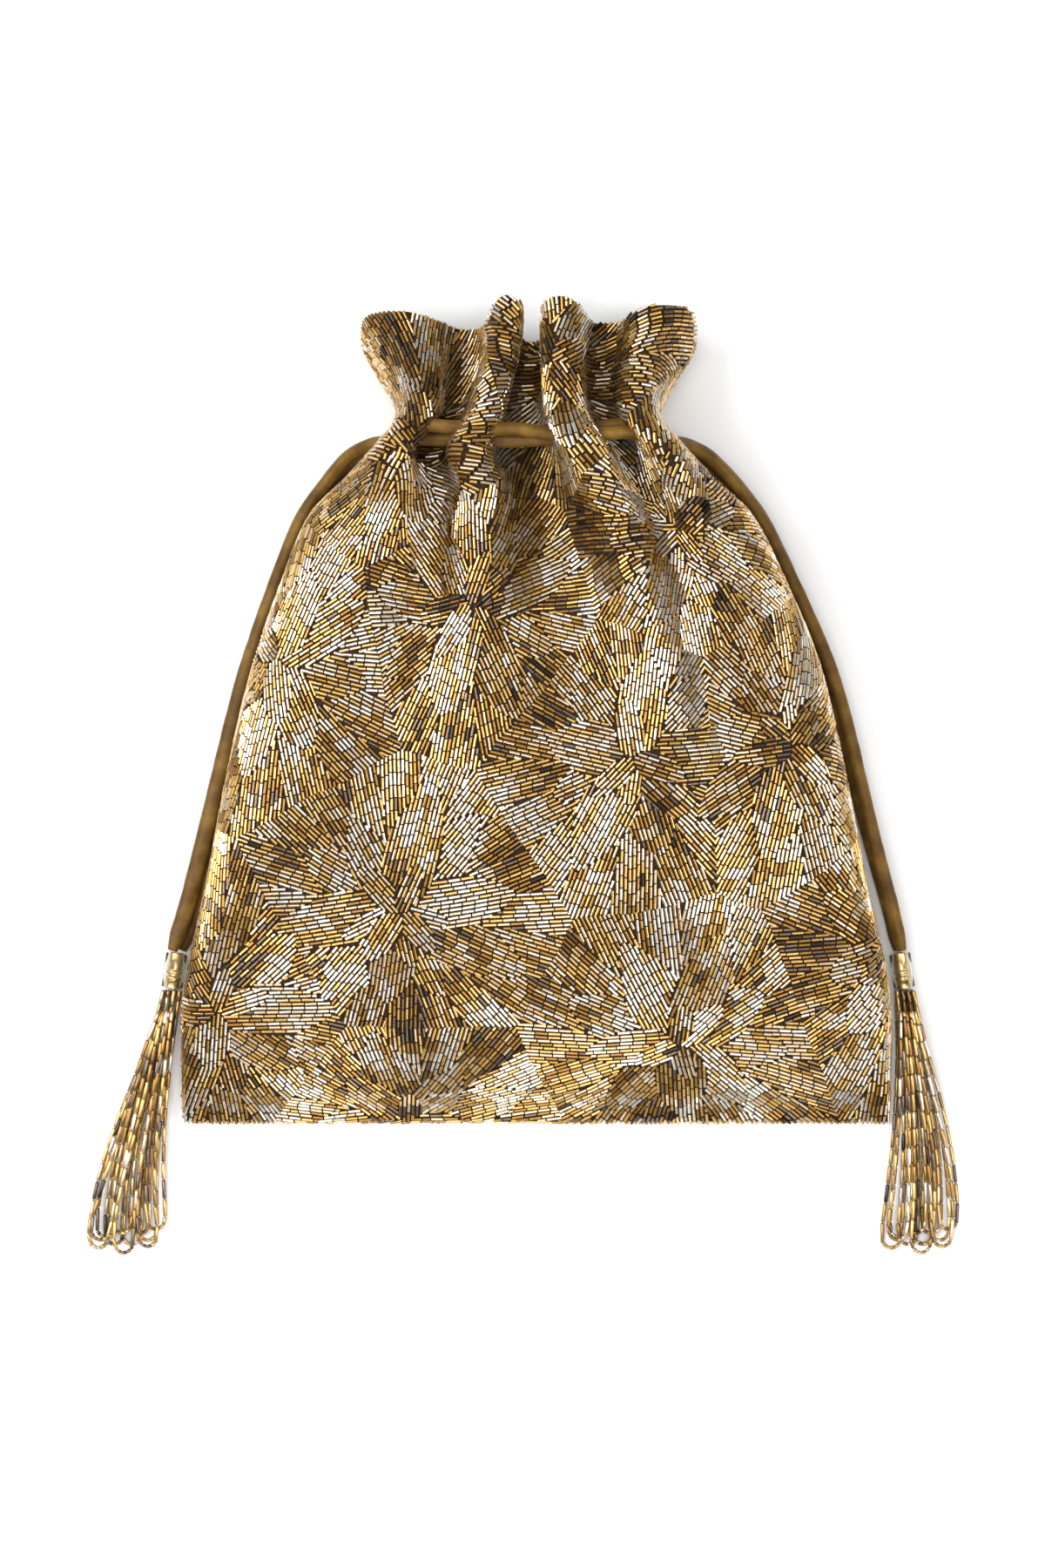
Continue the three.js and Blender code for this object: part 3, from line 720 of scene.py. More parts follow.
BACK_FOLDS = tuple(
    (share, (1 / 7,) * 7, (slope,) * 8)
    for share, slope in (
        (0, 0), (0.5685, 0), (0.776, 0.45), (0.8755, 1.35), (0.9087, 1.3), (1, 1.05),
    )
)


@dataclass(frozen=True)
class PanelShape:
    """How one panel of cloth is folded: its side rounds, crown and folds at each rise."""

    face: Face
    side_arcs: Pairs
    crown_stations: Pairs
    folds: Folds
    hem: Pairs
    finer: int = 56

    def plan(self, rise: float) -> tuple[Array, Array]:
        """Gives the folds' shares of the cloth and the slopes at their borders.

        Args:
            rise: Height above the base seam.

        Returns:
            Seven shares that add up to one, and eight slopes in radians.
        """
        places = [POUCH.rise(share) for share, _, _ in self.folds]

        def read(column: int, count: int) -> Array:
            """Reads one list of the plan at the rise.

            Args:
                column: Where the list stands in each entry.
                count: How many numbers it has.

            Returns:
                The numbers.
            """
            lists = [stage[column] for stage in self.folds]
            return np.array(
                [
                    Smooth(tuple((p, values[i]) for p, values in zip(places, lists)))(rise)
                    for i in range(count)
                ],
                float,
            )

        shares = read(1, FOLDS)
        return shares / shares.sum(), read(2, FOLDS + 1)

    def section(self, rise: float) -> tuple[Array, Array, Array, Array]:
        """Follows the cloth across the bag at one rise, from seam to seam.

        Args:
            rise: Height above the base seam.

        Returns:
            The cloth's x, its height over the seams, its length so far, and its fold number.
        """
        shares, slopes = self.plan(rise)
        crown = float(Smooth(self.crown_stations)(rise))
        side = float(Smooth(self.side_arcs)(rise))
        width = float(POUCH.outer_width(rise)) - POUCH.cloth_wall
        count = self.finer
        u = (np.arange(count) + 0.5) / count
        starts = np.concatenate([[0], np.cumsum(shares)[:-1]])
        half_turn = math.pi / 2
        angles = [half_turn + (slopes[0] + crown - half_turn) * ease(u)]
        for fold in range(FOLDS):
            steep = slopes[fold] + (slopes[fold + 1] - slopes[fold]) * u
            wave = (-1 if fold % 2 else 1) * steep * np.cos(math.pi * u)
            angles.append(wave + crown * np.cos(math.pi * (starts[fold] + u * shares[fold])))
        angles.append(-slopes[-1] - crown + (slopes[-1] + crown - half_turn) * ease(u))
        turn = np.concatenate(angles)
        sides, parts = np.zeros((2, len(turn)))
        sides[:count] = sides[-count:] = side / count
        parts[count:-count] = np.repeat(shares, count) / count
        cloth = (width - (sides * np.cos(turn)).sum()) / (parts * np.cos(turn)).sum()
        lengths = sides + parts * cloth
        x = np.concatenate([[0], np.cumsum(lengths * np.cos(turn))]) - width / 2
        z = np.concatenate([[0], np.cumsum(lengths * np.sin(turn))])
        arc = np.concatenate([[0], np.cumsum(lengths)])
        fold = np.arange(len(turn) + 1) / count - 1
        return x, z - z[-1] * arc / arc[-1], arc, fold


def stations(*pairs: Pair) -> Pairs:
    """Turns pairs of share of the height and value into stations of rise and value."""
    return tuple((POUCH.rise(share), value) for share, value in pairs)


CURL = 12 / 241
FRONT_SHAPE = PanelShape(
    Face.FRONT,
    stations((0, 1.8), (CURL, 9), (0.307, 27), (0.5685, 33), (0.776, 27), (0.8755, 20), (1, 17)),
    stations((0, 0.01), (0.1245, 0.1), (0.5685, 0.12), (0.8755, 0), (1, 0)),
    FRONT_FOLDS,
    (
        (-1, 0.3), (-0.85, 3.4), (-0.6, 6.2), (-0.2, 7.8), (0.3, 8), (1, 5.2), (1.6, 3), (2, 3.4),
        (2.5, 12.6), (3.5, -0.5), (4.5, 12.2), (5.3, 5), (5.7, 5.4), (6.4, 9.4), (7.1, 10),
        (7.5, 8.4), (7.8, 4.6), (8, 0.3),
    ),
)
BACK_SHAPE = PanelShape(
    Face.BACK,
    stations((0, 1.8), (CURL, 6), (0.307, 19), (0.5685, 22), (0.776, 15), (0.8755, 8), (1, 7)),
    stations((0, 0), (1, 0)),
    BACK_FOLDS,
    ((-1, 0), (0, -0.5), (1, -1.5), (6, -1.5), (7, -0.5), (8, 0)),
)


def seam_height(rise: float) -> float:
    """Gives the side seams' height: the back panel's lowest fold rests on the ground."""
    _, z, _, _ = BACK_SHAPE.section(rise)
    return POUCH.cloth_wall / 2 + POUCH.seam_gap / 2 + float(z.max())


@dataclass
class ClothSurface:
    """The middle of one panel's cloth, as an even grid of points that anything can be sewn to."""

    shape: PanelShape
    rows: int = 201
    cols: int = 321
    cell: float = 0.5
    base_crowding: float = 0.035
    gather_reaches: tuple[int, ...] = (2, 4, 6, 9, 12, 15, 18)
    # painted shade: how deep in a hollow, how far in from the sides and how high up the beads are
    # darkened
    shade_start: float = 1.2
    shade_depth: float = 8.0
    shade_side: float = 0.06
    shade_side_start: float = 1.2
    shade_rise: float = 150.0
    shade_rise_span: float = 40.0
    relaxing: tuple[tuple[int, int], ...] = ((8, 1500), (4, 500), (2, 160), (1, 40))
    relaxing_push: float = 0.24
    fit: float = 0.15
    points: Array = field(init=False)
    normals: Array = field(init=False)
    rises: Array = field(init=False)
    flat: Array = field(init=False)
    # painted shade in the gathers' hollows, from 0 to 1
    shade: Array = field(init=False)

    def __post_init__(self) -> None:
        """Lays out the grid."""
        up = self.shape.face.value
        # rows stand closer together where the cloth curls up from the base
        u = np.linspace(0, 1, self.rows)
        crowding = self.base_crowding * np.sin(math.pi * u) * (1 - u)
        self.rises = POUCH.height * (u - crowding)
        share = np.linspace(0, 1, self.cols)
        hem = Smooth(tuple((fold, POUCH.height + over) for fold, over in self.shape.hem))
        points = []
        for rise in self.rises:
            x, z, arc, fold = self.shape.section(rise)
            at = share * arc[-1]
            x, z, fold = (np.interp(at, arc, values) for values in (x, z, fold))
            loose = max(0.0, (rise - POUCH.neck_rise) / (POUCH.height - POUCH.neck_rise))
            y = POUCH.neck_rise + loose * (hem(fold) - POUCH.neck_rise) if loose else rise
            seam = seam_height(rise)
            turn = min(rise / POUCH.base_round, 1.0)
            z = seam + up * (POUCH.seam_gap / 2 + z * math.sqrt(1 - (1 - turn) ** 2))
            points.append(np.stack([float(POUCH.lean(rise)) + x, POUCH.base_y + y + 0 * x, z], 1))
        self.points = np.array(points)
        self.settle()
        self.note_painted_shade()
        self.unroll()

    def settle(self) -> None:
        """Works out which way the cloth faces at each point."""
        across = np.gradient(self.points, axis=1)
        along = np.gradient(self.points, axis=0)
        normals = np.cross(across, along) * self.shape.face.value
        normals[:, [0, -1], 2] = 0
        self.normals = unit(normals)

    def note_painted_shade(self) -> None:
        """Notes how deep in a gather each point lies, for painted shade on the beads where less
        light reaches.
        """
        height = self.points[:, :, 2] * self.shape.face.value
        crest = height.copy()
        for reach in self.gather_reaches:
            for way in (-reach, reach):
                moved = np.roll(height, way, axis=1)
                edge = slice(0, way) if way > 0 else slice(way, None)
                moved[:, edge] = height[:, edge]
                crest = np.maximum(crest, moved)
        # painted shade: the deeper a point lies below the nearby crests, the darker its beads
        deep = np.clip((crest - height - self.shade_start) / self.shade_depth, 0, 1)
        share = np.linspace(0, 1, self.cols)
        from_side = np.minimum(share, 1 - share) / self.shade_side
        inside = np.clip(from_side - self.shade_side_start, 0, 1)
        neck = np.clip((self.rises - self.shade_rise) / self.shade_rise_span, 0, 1)
        self.shade = deep * inside[None] * neck[:, None]

    def unroll(self) -> None:
        """Lays the cloth out flat, with its lengths kept as well as they can be."""
        p = self.points

        def lengths(down: int, over: int) -> Array:
            """Measures the grid's edges that run one way.

            Args:
                down: Rows from an edge's start to its end.
                over: Columns from its start to its end.

            Returns:
                The edges' lengths.
            """
            a = p[: self.rows - down, max(-over, 0) : self.cols - max(over, 0)]
            b = p[down:, max(over, 0) : self.cols + min(over, 0)]
            return np.linalg.norm(b - a, axis=2)

        directions = ((0, 1), (1, 0), (1, 1), (1, -1))
        fine = {d: lengths(*d) for d in directions}
        across = np.concatenate([np.zeros((self.rows, 1)), np.cumsum(fine[0, 1], 1)], 1)
        along = np.concatenate([np.zeros((1, self.cols)), np.cumsum(fine[1, 0], 0)], 0)
        flat = np.stack([across - across[:, -1:] / 2, along], 2)
        for step, rounds in self.relaxing:
            before = flat[::step, ::step]
            part = before.copy()
            n, m = part.shape[:2]
            rest = {}
            for down, over in directions:
                total = 0.0
                for k in range(step):
                    first = {1: k, 0: 0, -1: step - 1 - k}[over]
                    block = fine[down, over][(k if down else 0) :: step, first::step]
                    total = total + block[: n - down, : m - abs(over)]
                rest[down, over] = total
            for _ in range(rounds):
                push = np.zeros_like(part)
                for down, over in directions:
                    a = (slice(0, n - down), slice(max(-over, 0), m - max(over, 0)))
                    b = (slice(down, n), slice(max(over, 0), m + min(over, 0)))
                    gap = part[b] - part[a]
                    now = np.linalg.norm(gap, axis=2)
                    move = gap * (0.5 - 0.5 * rest[down, over] / now)[:, :, None]
                    push[a] += move
                    push[b] -= move
                part += push * self.relaxing_push
            flat = flat + self.spread(part - before, step)
        flat[:, :, 0] -= flat[0, :, 0].mean()
        flat[:, :, 1] -= flat[0, :, 1].mean()
        self.flat = flat
        self.chart()

    def spread(self, values: Array, step: int) -> Array:
        """Fills in a coarse grid of values for every point.

        Args:
            values: Values at every step-th row and column.
            step: How coarse they are.

        Returns:
            Values at all the points.
        """
        r = np.arange(self.rows) / step
        c = np.arange(self.cols) / step
        rows = np.arange(values.shape[0])
        cols = np.arange(values.shape[1])
        out = np.empty((self.rows, self.cols, values.shape[2]))
        for k in range(values.shape[2]):
            tall = np.stack([np.interp(r, rows, column) for column in values[:, :, k].T], 1)
            out[:, :, k] = np.stack([np.interp(c, cols, line) for line in tall])
        return out

    def chart(self) -> None:
        """Notes which point of the grid lies at each place of the flat cloth."""
        finer = 3
        r, c = np.meshgrid(
            np.linspace(0, self.rows - 1, self.rows * finer),
            np.linspace(0, self.cols - 1, self.cols * finer),
            indexing="ij",
        )
        r, c = r.ravel(), c.ravel()
        spots = self.read(self.flat, r, c)
        self.low = spots.min(0) - 2
        size = np.ceil((spots.max(0) + 2 - self.low) / self.cell).astype(int) + 1
        i, j = ((spots - self.low) / self.cell + 0.5).astype(int).T
        table = np.full((*size, 2), -1.0)
        table[i, j, 0], table[i, j, 1] = r, c
        for _ in range(2):
            for axis, way in ((0, 1), (0, -1), (1, 1), (1, -1)):
                moved = np.roll(table, way, axis)
                empty = table[:, :, 0] < 0
                table[empty] = moved[empty]
        self.table = table

    def find(self, across: Array, rise: Array) -> tuple[Array, Array]:
        """Turns places on the cloth laid flat into places in the grid.

        Args:
            across: Millimetres from the cloth's middle line.
            rise: Millimetres above the base seam, measured up the cloth.

        Returns:
            Row and column numbers, with fractions; the row is -1 off the cloth.
        """
        goal = np.stack([across, rise], 1)
        place = (goal - self.low) / self.cell + 0.5
        top = np.array(self.table.shape[:2]) - 1
        off = ((place < 0) | (place > top)).any(1)
        i, j = np.clip(place, 0, top).astype(int).T
        start = self.table[i, j]
        off |= start[:, 0] < 0
        row, col = np.maximum(start[:, 0], 0), np.maximum(start[:, 1], 0)
        last_row, last_col = self.rows - 1.001, self.cols - 1.001
        for _ in range(3):
            r0, c0 = np.clip(row, 0, last_row - 1), np.clip(col, 0, last_col - 1)
            here = self.read(self.flat, row, col)
            origin = self.read(self.flat, r0, c0)
            down = self.read(self.flat, r0 + 1, c0) - origin
            over = self.read(self.flat, r0, c0 + 1) - origin
            miss = goal - here
            area = down[:, 0] * over[:, 1] - down[:, 1] * over[:, 0]
            dr = (miss[:, 0] * over[:, 1] - miss[:, 1] * over[:, 0]) / area
            dc = (down[:, 0] * miss[:, 1] - down[:, 1] * miss[:, 0]) / area
            row = np.clip(row + np.clip(dr, -2, 2), 0, last_row)
            col = np.clip(col + np.clip(dc, -2, 2), 0, last_col)
        miss = np.linalg.norm(goal - self.read(self.flat, row, col), axis=1)
        return np.where(off | (miss > self.fit), -1.0, row), col

    def read(self, values: Array, row: Array, col: Array) -> Array:
        """Reads a grid of values between its points.

        Args:
            values: A grid with a list of numbers at each point.
            row: Row numbers, with fractions.
            col: Column numbers, with fractions.

        Returns:
            The values at each place.
        """
        r = np.clip(row, 0, self.rows - 1.0001)
        c = np.clip(col, 0, self.cols - 1.0001)
        i, j = r.astype(int), c.astype(int)
        u, v = (r - i)[:, None], (c - j)[:, None]
        low = values[i, j] * (1 - v) + values[i, j + 1] * v
        high = values[i + 1, j] * (1 - v) + values[i + 1, j + 1] * v
        return low * (1 - u) + high * u

    def where(self, x: float, rise: float) -> Array:
        """Finds the flat place of a point seen on the bag.

        Args:
            x: The point's distance from the bag's middle.
            rise: Its height above the base seam.

        Returns:
            The same point's place on the cloth laid flat.
        """
        off = np.hypot(self.points[:, :, 0] - x, self.points[:, :, 1] - POUCH.base_y - rise)
        return self.flat[np.unravel_index(off.argmin(), off.shape)]


# --- Beadwork ---


@dataclass(frozen=True)
class Flower:
    """A flower of bead petals, by the place of its middle on the bag."""

    x: float
    rise: float
    petals: int
    reach: float
    turn: float


FRONT_FLOWERS = (
    Flower(-20.4, 158.7, 9, 34, 0.3),
    Flower(29.3, 113.0, 9, 36, 0.0),
    Flower(-42.0, 65.9, 10, 38, 0.2),
    Flower(44.1, 25.6, 9, 36, 0.5),
    Flower(-99.8, 35.0, 9, 36, 0.1),
    Flower(77.7, 115.7, 8, 32, 0.4),
    Flower(42.8, 181.6, 8, 30, 0.2),
    Flower(-79.6, 142.6, 8, 34, 0.6),
    Flower(-39.3, 0.0, 9, 34, 0.4),
    Flower(106.0, 53.8, 8, 32, 0.1),
    Flower(-38.0, 206.0, 8, 30, 0.5),
    Flower(5.0, 232.0, 8, 30, 0.1),
)
BACK_FLOWERS = (
    Flower(-60, 30, 9, 36, 0.2),
    Flower(20, 20, 9, 38, 0.5),
    Flower(84, 60, 8, 34, 0.1),
    Flower(-20, 84, 10, 38, 0.3),
    Flower(48, 112, 9, 36, 0.0),
    Flower(-72, 118, 8, 34, 0.4),
    Flower(-14, 152, 9, 34, 0.6),
    Flower(36, 184, 8, 30, 0.2),
    Flower(-30, 206, 8, 28, 0.1),
    Flower(10, 236, 8, 28, 0.3),
)


@dataclass(frozen=True)
class PetalRing:
    """How one kind of petals lies round the flowers, in shares of their reach and pitch."""

    kind: Area
    reach: float
    wide: float
    shift: float
    missing: float


PETAL_RINGS = (
    PetalRing(Area.OUTER_PETAL, reach=1.0, wide=0.78, shift=0.0, missing=0.0),
    PetalRing(Area.INNER_PETAL, reach=0.5, wide=0.72, shift=0.5, missing=0.35),
)


@dataclass(frozen=True)
class Region:
    """A petal or fan on the flat cloth: where its rows start, which way, and how far they go."""

    kind: Area
    place: Array
    turn: float
    reach: float


@dataclass(frozen=True)
class ToneRule:
    """How light the beads are, as places in the list of tones."""

    fan: float = 3.2
    fan_range: float = 0.9
    fan_wave: float = 0.8
    wave_turns: float = 5
    wave_shift: float = 6
    dark_base: float = 1.2
    light_base: float = 2.7
    dark_bases: float = 0.4
    light_tip: float = 4.6
    dark_tip: float = 3.5
    light_tips: float = 0.6
    base_range: float = 0.6
    tip_power: float = 1.1
    inner_rise: float = 2.0
    farthest: float = 1.3
    row_range: float = 0.35
    patch_size: float = 22.0
    patches: float = 0.6
    cluster_size: float = 5.5
    clusters: float = 1.5
    limits: Pair = (1.5, 4.6)
    bead_range: float = 0.75
    brightness: Pair = (0.82, 1.08)

    def level(self, share: float, kind: Area, taste: Array) -> float:
        """Chooses how light the beads are along a petal or fan.

        Args:
            share: Place along it, 0 at the flower's middle and 1 at the tip.
            kind: What the area is.
            taste: Numbers from 0 to 1 that belong to this area.

        Returns:
            A place in the list of tones.
        """
        t = min(max(share, 0.0), self.farthest)
        if kind is Area.FAN:
            wave = self.fan_wave * math.sin(self.wave_turns * t + self.wave_shift * taste[1])
            return self.fan + self.fan_range * (taste[0] - 0.5) + wave
        base = self.dark_base if taste[0] < self.dark_bases else self.light_base
        tip = self.light_tip if taste[2] < self.light_tips else self.dark_tip
        if kind is Area.OUTER_PETAL:
            return base + self.base_range * taste[1] + (tip - base) * t**self.tip_power
        return base + self.base_range * taste[1] + self.inner_rise * t


@dataclass
class BeadRows:
    """Bugle beads sewn in rows on a panel: petals round each flower and fans between them."""

    surface: ClothSurface
    flowers: Sequence[Flower]
    seed: int
    tones: ToneRule = ToneRule()
    bead_length: float = 3.5
    bead_gap: float = 0.4
    bead_radius: float = 0.455
    row_pitch: float = 1.28
    shortest: float = 1.5
    arch_points: int = 7
    cell: float = 0.3
    margin: float = 0.6
    warp: float = 0.8
    warp_size: float = 11.0
    fan_tilt: float = 0.1
    petal_tilt: float = 0.16
    petal_lengths: Pair = (0.75, 1.15)
    petal_widths: Pair = (0.85, 1.2)
    petal_halves: Pair = (3.4, 8.5)
    petal_skew: float = 0.85
    petal_blunt: float = 0.65
    fewest_cells: int = 20
    row_shift: Pair = (0.3, 0.6)
    row_start: float = 0.1
    split_over: float = 1.32
    least_length: float = 0.9
    turn_range: float = 0.018
    length_probe: float = 1.2
    width_probe: float = 0.6
    longer_limits: Pair = (0.85, 1.35)
    wider_limits: Pair = (0.88, 1.3)
    # how much painted shade darkens the beads deep in the gathers
    painted_shade_share: float = 0.5
    lowest: float = -1.0
    fill_length: float = 2.2
    fill_reach: float = 0.33
    fill_border: int = 2
    bare_distance: float = 1.25
    fill_pitch: float = 1.3
    arch: float = 104.0
    widths: Pair = (0.94, 1.05)
    lengths: Pair = (0.97, 1.02)
    lift: float = 0.42
    lift_range: float = 0.05
    ground: float = 0.02

    def __post_init__(self) -> None:
        """Finds the flowers' places on the flat cloth."""
        self.rng = np.random.default_rng(self.seed)
        self.places = np.array([self.surface.where(f.x, f.rise) for f in self.flowers])
        self.low = self.surface.flat.min((0, 1)) - self.margin
        self.high = self.surface.flat.max((0, 1)) + self.margin

    def field(self, size: float) -> Field:
        """Makes a smooth random field over the flat cloth."""
        return lattice(self.rng, size, self.low, self.high)

    def label_map(self) -> tuple[Array, list[Region]]:
        """Divides the flat cloth into petals and fans.

        Returns:
            A map of the regions' numbers, from 1, with 0 off the cloth, and the regions.
        """
        across = np.arange(self.low[0], self.high[0], self.cell)
        rise = np.arange(self.low[1], self.high[1], self.cell)
        a, v = np.meshgrid(across, rise, indexing="ij")
        wa = a + self.warp * self.field(self.warp_size)(a, v)
        wv = v + self.warp * self.field(self.warp_size)(a, v)
        distance = np.stack([np.hypot(wa - x, wv - y) for x, y in self.places])
        nearest = distance.argmin(0)
        labels = np.zeros(a.shape, int)
        regions: list[Region] = []
        for number, (flower, place) in enumerate(zip(self.flowers, self.places)):
            own = nearest == number
            angle = np.arctan2(wv - place[1], wa - place[0])
            sectors = flower.petals * 2
            width = 2 * math.pi / sectors
            sector = np.floor((angle - flower.turn) / width).astype(int) % sectors
            for k in range(sectors):
                tilt = self.rng.uniform(-self.fan_tilt, self.fan_tilt)
                turn = (k + 0.5) * width + flower.turn + tilt
                regions.append(Region(Area.FAN, place, turn, flower.reach))
                labels[own & (sector == k)] = len(regions)
        for ring in PETAL_RINGS:
            for flower, place in zip(self.flowers, self.places):
                step = 2 * math.pi / flower.petals
                for k in self.rng.permutation(flower.petals):
                    if ring.missing and self.rng.random() < ring.missing:
                        continue
                    tilt = self.rng.uniform(-self.petal_tilt, self.petal_tilt)
                    turn = flower.turn + (k + ring.shift + tilt) * step
                    length = flower.reach * ring.reach * self.rng.uniform(*self.petal_lengths)
                    half = ring.wide * length * math.sin(step / 2)
                    half = np.clip(half * self.rng.uniform(*self.petal_widths), *self.petal_halves)
                    x, y = wa - place[0], wv - place[1]
                    ahead = x * math.cos(turn) + y * math.sin(turn)
                    beside = -x * math.sin(turn) + y * math.cos(turn)
                    t = np.clip(ahead / length, 0, 1)
                    room = half * np.sin(math.pi * t**self.petal_skew) ** self.petal_blunt
                    regions.append(Region(ring.kind, place, turn, length))
                    labels[(ahead > 0) & (ahead < length) & (np.abs(beside) < room)] = len(regions)
        row, _ = self.surface.find(a.ravel(), v.ravel())
        labels[row.reshape(a.shape) < 0] = 0
        return labels, regions

    def divide(self, start: float, end: float, phase: float) -> list[Pair]:
        """Divides a row into beads.

        Args:
            start: Where the row starts.
            end: Where it ends.
            phase: Share of a bead by which the row is shifted against its neighbours.

        Returns:
            Pairs of middle and length.
        """
        pitch = self.bead_length + self.bead_gap
        marks = [start]
        first = start + phase * pitch
        if first - start < self.shortest:
            first += pitch
        while first < end - self.shortest:
            marks.append(first)
            first += pitch
        marks.append(end)
        spans = []
        for low, high in zip(marks[:-1], marks[1:]):
            parts = 2 if high - low > self.split_over * pitch else 1
            for k in range(parts):
                a = low + (high - low) * k / parts
                b = low + (high - low) * (k + 1) / parts
                spans.append(((a + b) / 2, b - a - self.bead_gap))
        return [span for span in spans if span[1] > self.least_length]

    def lay(self) -> tuple[Array, Array, Array, Array]:
        """Lays every bead on the flat cloth.

        Returns:
            The beads' middles, directions as angles, lengths, and colours.
        """
        labels, regions = self.label_map()
        cell, pitch = self.cell, self.row_pitch
        patch, cluster = self.field(self.tones.patch_size), self.field(self.tones.cluster_size)
        order = np.argsort(labels, axis=None, kind="stable")
        limits = np.searchsorted(labels.ravel()[order], np.arange(len(regions) + 2))
        middles, turns, lengths, colours = [], [], [], []
        for number, region in enumerate(regions, 1):
            own = order[limits[number] : limits[number + 1]]
            if len(own) < self.fewest_cells:
                continue
            spots = np.stack(np.unravel_index(own, labels.shape), 1) * cell + self.low
            direction = np.array([math.cos(region.turn), math.sin(region.turn)])
            side = np.array([-direction[1], direction[0]])
            s, w = (spots - region.place) @ direction, (spots - region.place) @ side
            line = np.arange(s.min() - cell, s.max() + 2 * cell, cell)
            rows = (np.arange(math.floor(w.min() / pitch), w.max() / pitch + 1) + 0.5) * pitch
            probe = (
                region.place - self.low
                + line[None, :, None] * direction
                + rows[:, None, None] * side
            )
            index = (probe / cell + 0.5).astype(int)
            top = np.array(labels.shape) - 1
            hit = ((index >= 0) & (index <= top)).all(2)
            index = np.clip(index, 0, top)
            hit &= labels[index[:, :, 0], index[:, :, 1]] == number
            taste = self.rng.random(4)
            phase = self.rng.random()
            for offset, inside in zip(rows, hit):
                steps = np.flatnonzero(np.diff(np.concatenate([[0], inside, [0]])))
                phase = (phase + self.rng.uniform(*self.row_shift)) % 1
                shade = self.rng.normal(0, self.tones.row_range)
                for a, b in zip(steps[::2], steps[1::2]):
                    start, end = line[0] + a * cell - self.row_start, line[0] + b * cell
                    for middle, length in self.divide(start, end, phase):
                        middles.append(region.place + middle * direction + offset * side)
                        turns.append(region.turn)
                        lengths.append(length)
                        level = self.tones.level(middle / region.reach, region.kind, taste)
                        colours.append(level + shade)
        places = np.array(middles)
        count = len(places)
        level = np.array(colours) + self.tones.patches * patch(*places.T)
        level += self.tones.clusters * cluster(*places.T)
        level = np.clip(level, *self.tones.limits)
        level = np.round(level + self.rng.normal(0, self.tones.bead_range, count))
        colour = TONES[np.clip(level, 0, len(TONES) - 1).astype(int)]
        colour = colour * self.rng.uniform(*self.tones.brightness, (count, 1))
        angle = np.array(turns) + self.rng.normal(0, self.turn_range, count)
        return places, angle, np.array(lengths), colour

    def build(self, prefix: str, cuts: Sequence[float]) -> list[Piece]:
        """Sews the beads onto the panel.

        Args:
            prefix: How the pieces' names start.
            cuts: Rises at which the beads are divided into pieces.

        Returns:
            The pieces of beads.
        """
        surface = self.surface
        middles, turns, lengths, colours = self.lay()
        row, col = surface.find(*middles.T)
        beads = (middles, np.stack([np.cos(turns), np.sin(turns)], 1), lengths, colours, row, col)
        middles, direction, lengths, colours, row, col = (values[row >= 0] for values in beads)
        along, longer = self.stretch(middles, direction * self.length_probe, row, col)
        beside = direction[:, ::-1] * [-self.width_probe, self.width_probe]
        _, wider = self.stretch(middles, beside, row, col)
        lengths = lengths * np.clip(longer, *self.longer_limits)
        wider = np.clip(wider, *self.wider_limits)
        row, col, source = self.fill(along, lengths, row, col)
        more = len(source)
        along = np.concatenate([along, along[source]])
        at = surface.read(surface.points, row, col)
        normal = unit(surface.read(surface.normals, row, col))
        along = unit(along - normal * (along * normal).sum(1, keepdims=True))
        lengths = np.concatenate([lengths, np.full(more, self.fill_length)])
        wider = np.concatenate([wider, np.ones(more)])
        colours = np.concatenate([colours, colours[source]])
        middles = np.concatenate([middles, middles[source]])
        # painted shade: beads deep in the neck's gathers are darkened in colour
        shade = surface.read(surface.shade[:, :, None], row, col)
        colours = colours * (1 - self.painted_shade_share * shade)
        material = BeadFinish().material()
        bounds = [self.lowest, *cuts, math.inf]
        pieces = []
        for number, (low, high) in enumerate(zip(bounds[:-1], bounds[1:]), 1):
            own = (middles[:, 1] > low) & (middles[:, 1] <= high)
            values = (at[own], along[own], normal[own], lengths[own], wider[own], colours[own])
            pieces.append(self.piece(f"{prefix}_{number}", *values, material))
        return pieces

    def fill(
        self, along: Array, lengths: Array, row: Array, col: Array
    ) -> tuple[Array, Array, Array]:
        """Adds short beads wherever the rows leave the cloth bare.

        Args:
            along: Each bead's direction.
            lengths: Each bead's length.
            row: The beads' rows in the grid.
            col: Their columns.

        Returns:
            The rows and columns with those of the new beads behind them, and for each new bead
            the number of the one it is modelled on.
        """
        points = self.surface.points
        at = self.surface.read(points, row, col)
        reach = unit(along) * lengths[:, None] * self.fill_reach
        marks = np.concatenate([at, at - reach, at + reach])
        tree = KDTree(len(marks))
        for number, mark in enumerate(marks):
            tree.insert(mark, number)
        tree.balance()
        inner = slice(self.fill_border, -self.fill_border)
        rows, cols = np.indices(points.shape[:2])[:, inner, inner].reshape(2, -1)
        spots = points[rows, cols]
        found = [tree.find(spot)[1:] for spot in spots]
        bare = np.array([distance for _, distance in found]) > self.bare_distance
        chosen: list[int] = []
        for number in np.flatnonzero(bare):
            gaps = np.linalg.norm(spots[chosen] - spots[number], axis=1)
            if (gaps > self.fill_pitch).all():
                chosen.append(number)
        source = np.array([found[number][0] % len(at) for number in chosen], int)
        log.info("%d beads fill bare spots", len(chosen))
        return np.concatenate([row, rows[chosen]]), np.concatenate([col, cols[chosen]]), source

